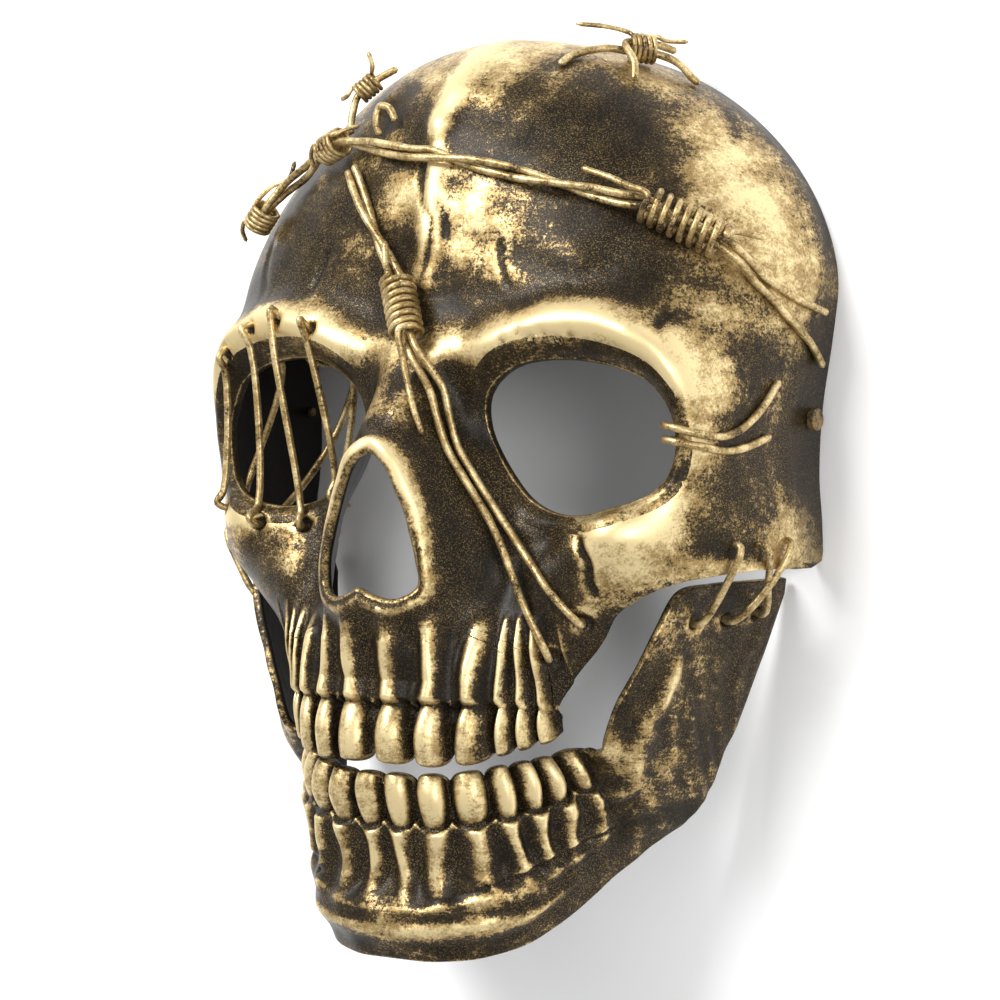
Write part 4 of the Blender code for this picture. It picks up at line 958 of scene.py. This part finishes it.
def jaw_patches(points):
    """The brush dragged more gold over the front of the branch and the edge of the chin."""
    total = np.zeros(points.shape[:-1])
    for x, y, z, radius, more in (
        (60.0, -86.0, 40.0, 16.0, 0.25), (70.0, -52.0, 42.0, 16.0, 0.25), (26.0, -124.0, 72.0, 9.0, 0.5),
        (0.0, -131.0, 80.0, 18.0, 0.25), (-24.0, -118.0, 72.0, 14.0, -0.25), (44.0, -110.0, 52.0, 12.0, -0.3),
        (74.0, -44.0, 20.0, 16.0, -0.35),
    ):
        total += more * np.exp(-((points - (x, y, z)) ** 2).sum(-1) / radius**2)
    return total


marks = band_marks(JAW_OUTER, jaw_outer, jaw_profile, False, (3, 3), (10, 9), jaw_patches)
carved = np.linalg.norm(jaw_outer - jaw_grid(JAW_OUTER, False) + (0.0, 0.0, 6.0), axis=-1)
carved = carved - spread_along(spread_along(carved, 7, 0, False), 7, 1, False)
marks["hand"][:, :JAW_OUTER] += 0.28 * np.clip(carved, -2.5, 2.0)
points = jaw_profile.reshape(-1, 3)
faces = capped(points, *jaw_profile.shape[:2])
jaw = mesh_object("jaw_surface", leaned(points), faces, marks, jaw_gold)
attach(jaw, "root")
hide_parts("jaw_shell")
print("jaw triangles:", 2 * len(faces))

# %% [markdown]
# ## Wires, barbs and laces
#
# The solids carry each wire as a six-sided tube. Its middle line is read back from that tube: the
# rim of its flat end is found by its sharp edges, and ring after ring follows from there. A smooth
# curve through the ring middles carries a round section, slightly uneven as hand-dipped wire is.


# %% Middle line of a tube
TUBE_SIDES = 6


def layers_from(start):
    """Sets of vertices at 0, 1, 2 ... edges from the first set."""
    layer, seen, out = set(start), set(start), []
    while layer:
        out.append(layer)
        layer = {edge.other_vert(vertex) for vertex in layer for edge in vertex.link_edges} - seen
        seen |= layer
    return out


def end_rim(tip):
    """Vertices joined to the tip along sharp edges: the rim of the flat end that it lies on."""
    rim, queue = {tip}, [tip]
    while queue:
        vertex = queue.pop()
        for edge in vertex.link_edges:
            other = edge.other_vert(vertex)
            near = (other.co - tip.co).length < 3.2 * MM
            if other not in rim and near and edge.calc_face_angle(0.0) > math.radians(75):
                rim.add(other)
                queue.append(other)
    return sorted(rim, key=lambda vertex: tuple(vertex.co))


def middle_line(node):
    """Mean of each ring of vertices, in mm. The farthest vertices from any other lie on an end's rim."""
    shape = bmesh.new()
    shape.from_mesh(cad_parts[node].data)
    bmesh.ops.remove_doubles(shape, verts=shape.verts, dist=0.02 * MM)
    shape.verts.ensure_lookup_table()
    rims = [end_rim(tip) for tip in layers_from([shape.verts[0]])[-1]]
    rim = min(rims, key=lambda one: (abs(len(one) - TUBE_SIDES), [tuple(vertex.co) for vertex in one]))
    rings = [sorted(layer, key=lambda vertex: tuple(vertex.co)) for layer in layers_from(rim)]
    middles = np.array([np.mean([vertex.co for vertex in ring], axis=0) / MM for ring in rings])
    shape.free()
    return middles if middles[0, 0] < middles[-1, 0] else middles[::-1]


def tree_of(item):
    """Search tree of an object's faces, in mm."""
    mesh = item.data
    spots = np.empty(len(mesh.vertices) * 3, np.float32)
    mesh.vertices.foreach_get("co", spots)
    faces = [tuple(face.vertices) for face in mesh.polygons]
    return BVHTree.FromPolygons((spots.reshape(-1, 3) / MM).tolist(), faces)


solid_trees = [tree_of(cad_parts[node]) for node in ("skull_shell", "jaw_shell")]
fine_trees = [tree_of(piece) for piece in [skull, jaw] + lips]
REACH = 7.0


def lift_at(spot, radius):
    """The move away from the plain solid that takes a wire's middle clear of the fine surfaces."""
    found = [tree.find_nearest(Vector(spot)) for tree in solid_trees]
    near, _, _, distance = min(found, key=lambda one: one[3])
    if not 0.3 * radius < distance < REACH:
        return np.zeros(3)
    away = (Vector(spot) - near).normalized()
    hits = [tree.ray_cast(Vector(spot) + REACH * away, -away, REACH + radius) for tree in fine_trees]
    depth = max([REACH - hit[3] + radius for hit in hits if hit[0] is not None], default=0.0)
    return np.array(away) * min(depth, 3.0)


def laid(node, radius, loose_ends):
    """The middle line with every point clear of the fine surfaces, except near ends that go into a hole."""
    line = spline(middle_line(node), False, 3)
    moves = np.array([lift_at(spot, radius) for spot in line])
    length = np.concatenate([[0], np.cumsum(np.linalg.norm(np.diff(line, axis=0), axis=1))])
    from_end = np.minimum(length, length[-1] - length)
    moves *= ramp(from_end, loose_ends, loose_ends + 6.0)[:, None] if loose_ends else 1.0
    padded = np.pad(moves, ((2, 2), (0, 0)), mode="edge")
    soft = (padded[:-4] + 2 * padded[1:-3] + 2 * padded[2:-2] + 2 * padded[3:-1] + padded[4:]) / 8
    longer = np.linalg.norm(moves, axis=1) > np.linalg.norm(soft, axis=1)
    return line + np.where(longer[:, None], moves, soft)


def frames_along(line):
    """Two directions across the line at each point, turned as little as possible from point to point."""
    tangent = np.gradient(line, axis=0)
    tangent /= np.linalg.norm(tangent, axis=1, keepdims=True)
    first = np.cross(tangent[0], (0.31, 0.52, 0.79))
    across = [first / np.linalg.norm(first)]
    for direction in tangent[1:]:
        step = across[-1] - direction * (across[-1] @ direction)
        across.append(step / np.linalg.norm(step))
    across = np.array(across)
    return across, np.cross(tangent, across)


def round_wire(node, radius, sides, per_run, lumps, loose_ends, seed):
    """A circle of the given radius carried along the middle line, closed at both ends."""
    line = middle_line(node) if loose_ends is None else laid(node, radius, loose_ends)
    line = spline(line, False, per_run if loose_ends is None else 3)
    draw = np.random.default_rng(seed)
    across, up = frames_along(line)
    length = np.concatenate([[0], np.cumsum(np.linalg.norm(np.diff(line, axis=0), axis=1))])
    swell = sum(draw.uniform(0.3, 1.0) * np.sin(length * k + draw.uniform(0, 6.28)) for k in (0.5, 0.9, 1.7))
    width = radius * (1 + lumps * swell)
    end = np.minimum(length, length[-1] - length)
    width *= np.sqrt(np.clip(1 - (1 - np.minimum(end / (0.6 * radius), 1)) ** 2, 0.35**2, 1))
    a = np.linspace(0, 2 * np.pi, sides, endpoint=False)
    ring = across[:, None] * np.cos(a)[:, None] + up[:, None] * np.sin(a)[:, None]
    points = (line[:, None] + ring * width[:, None, None]).reshape(-1, 3)
    lift = np.repeat(0.35 + 0.12 * np.sin(length * 0.5 + draw.uniform(0, 6.28)), sides)
    marks = {"proud_fine": lift, "proud_broad": 0 * lift, "hand": 0 * lift, "outside": 0 * lift + 1}
    made = mesh_object(node + "_round", points, capped(points, len(line), sides), marks, wire_gold)
    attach(made, "root")
    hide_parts(node)
    return length[-1]


# %% Make every wire
WIRES = (
    # node, radius, sides, steps a run, unevenness, length of the ends that go into holes, or None
    # where the line stays as it is
    ("barb_forehead", 0.92, 12, 6, 0.05, 0.0),
    ("barb_nose", 0.92, 12, 6, 0.05, 0.0),
    ("barb_junction", 0.68, 10, 6, 0.05, None),
    ("barb_side", 0.68, 10, 6, 0.05, None),
    ("barb_top", 0.68, 10, 6, 0.05, None),
    ("barb_crown", 0.68, 10, 6, 0.05, None),
    ("hook_brow", 1.1, 12, 6, 0.03, 0.0),
    ("orbit_loop_lower", 1.1, 12, 6, 0.04, 0.0),
    ("orbit_loop_upper", 1.1, 12, 6, 0.04, 0.0),
    ("wire_brow_lower", 1.1, 12, 5, 0.03, 0.0),
    ("wire_brow_upper", 1.1, 12, 5, 0.03, 0.0),
    ("wire_crown_long", 1.1, 12, 6, 0.03, 0.0),
    ("wire_crown_short", 1.1, 12, 6, 0.03, 0.0),
    ("wire_nose_inner", 1.1, 12, 5, 0.03, 9.0),
    ("wire_nose_outer", 1.1, 12, 5, 0.03, 9.0),
    ("wire_top", 1.1, 12, 6, 0.03, 0.0),
    ("eye_lace", 1.05, 12, 6, 0.05, None),
    ("jaw_lace_left", 1.05, 12, 6, 0.05, None),
    ("jaw_lace_right", 1.05, 12, 6, 0.05, None),
)
for number, (node, radius, sides, per_run, lumps, loose_ends) in enumerate(WIRES):
    length = round_wire(node, radius, sides, per_run, lumps, loose_ends, number)
    print(node, "length", round(float(length)), "mm")

# %% [markdown]
# ## Studs
#
# The studs at the temples are right in the solids. They only take a finish of their own: brown wash with
# noise patches of part-metallic old gold.

# %% Finish the studs
n = Nodes("antique_gold_stud_paint")
stud_noise = n.noise(420.0, 4.0, 0.7)
stud_share = n.between(stud_noise, 0.38, 0.6)
n.feed(n.shader.inputs["Base Color"], n.mix(stud_share, BROWN_WASH, OLD_GOLD))
n.feed(n.shader.inputs["Metallic"], n.math("MULTIPLY", stud_share, 0.7))
n.shader.inputs["Roughness"].default_value = 0.42
for node in ("temple_stud_right", "temple_stud_left"):
    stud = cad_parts[node]
    stud.data.materials.clear()
    stud.data.materials.append(n.material)

# %% [markdown]
# ## Floor and light
#
# The mask lies on a white table. A large soft light from above left, a weaker one from the right and
# a bright white sky give the pale background and the faint shadow at the lower right.

# %% Floor and light
FLOOR_REACH = 4.0
FLOOR_Z = -0.0003
floor_mesh = bpy.data.meshes.new("white_table")
corners = [(x * FLOOR_REACH, y * FLOOR_REACH, FLOOR_Z) for x, y in ((-1, -1), (1, -1), (1, 1), (-1, 1))]
floor_mesh.from_pydata(corners, [], [(0, 1, 2, 3)])
floor = bpy.data.objects.new("white_table", floor_mesh)
bpy.context.scene.collection.objects.link(floor)
paper = Nodes("white_table_paper")
whites = paper.mix(paper.noise(3.0), (0.93, 0.93, 0.93), (0.96, 0.96, 0.96))
paper.feed(paper.shader.inputs["Base Color"], whites)
paper.shader.inputs["Roughness"].default_value = 0.8
floor_mesh.materials.append(paper.material)

world = bpy.data.worlds.new("white_studio")
world.use_nodes = True
sky = world.node_tree.nodes["Background"]
sky.inputs["Color"].default_value = (1.0, 1.0, 1.0, 1.0)
sky.inputs["Strength"].default_value = 0.68
bpy.context.scene.world = world
bpy.context.scene.view_settings.view_transform = "Standard"


def soft_light(name, place, size, power):
    """A square light that faces the middle of the mask."""
    light = bpy.data.lights.new(name, "AREA")
    light.size = size
    light.energy = power
    made = bpy.data.objects.new(name, light)
    z = np.array(place, float) / np.linalg.norm(place)
    x = np.cross((0.0, 1.0, 0.0), z)
    x /= np.linalg.norm(x)
    y = np.cross(z, x)
    made.matrix_world = Matrix([[x[i], y[i], z[i], place[i]] for i in range(3)] + [[0, 0, 0, 1]])
    bpy.context.scene.collection.objects.link(made)
    return made


soft_light("window_above_left", (-0.45, 0.95, 1.25), 0.7, 26.0)
soft_light("lamp_right", (1.25, 0.15, 1.0), 0.45, 8.0)
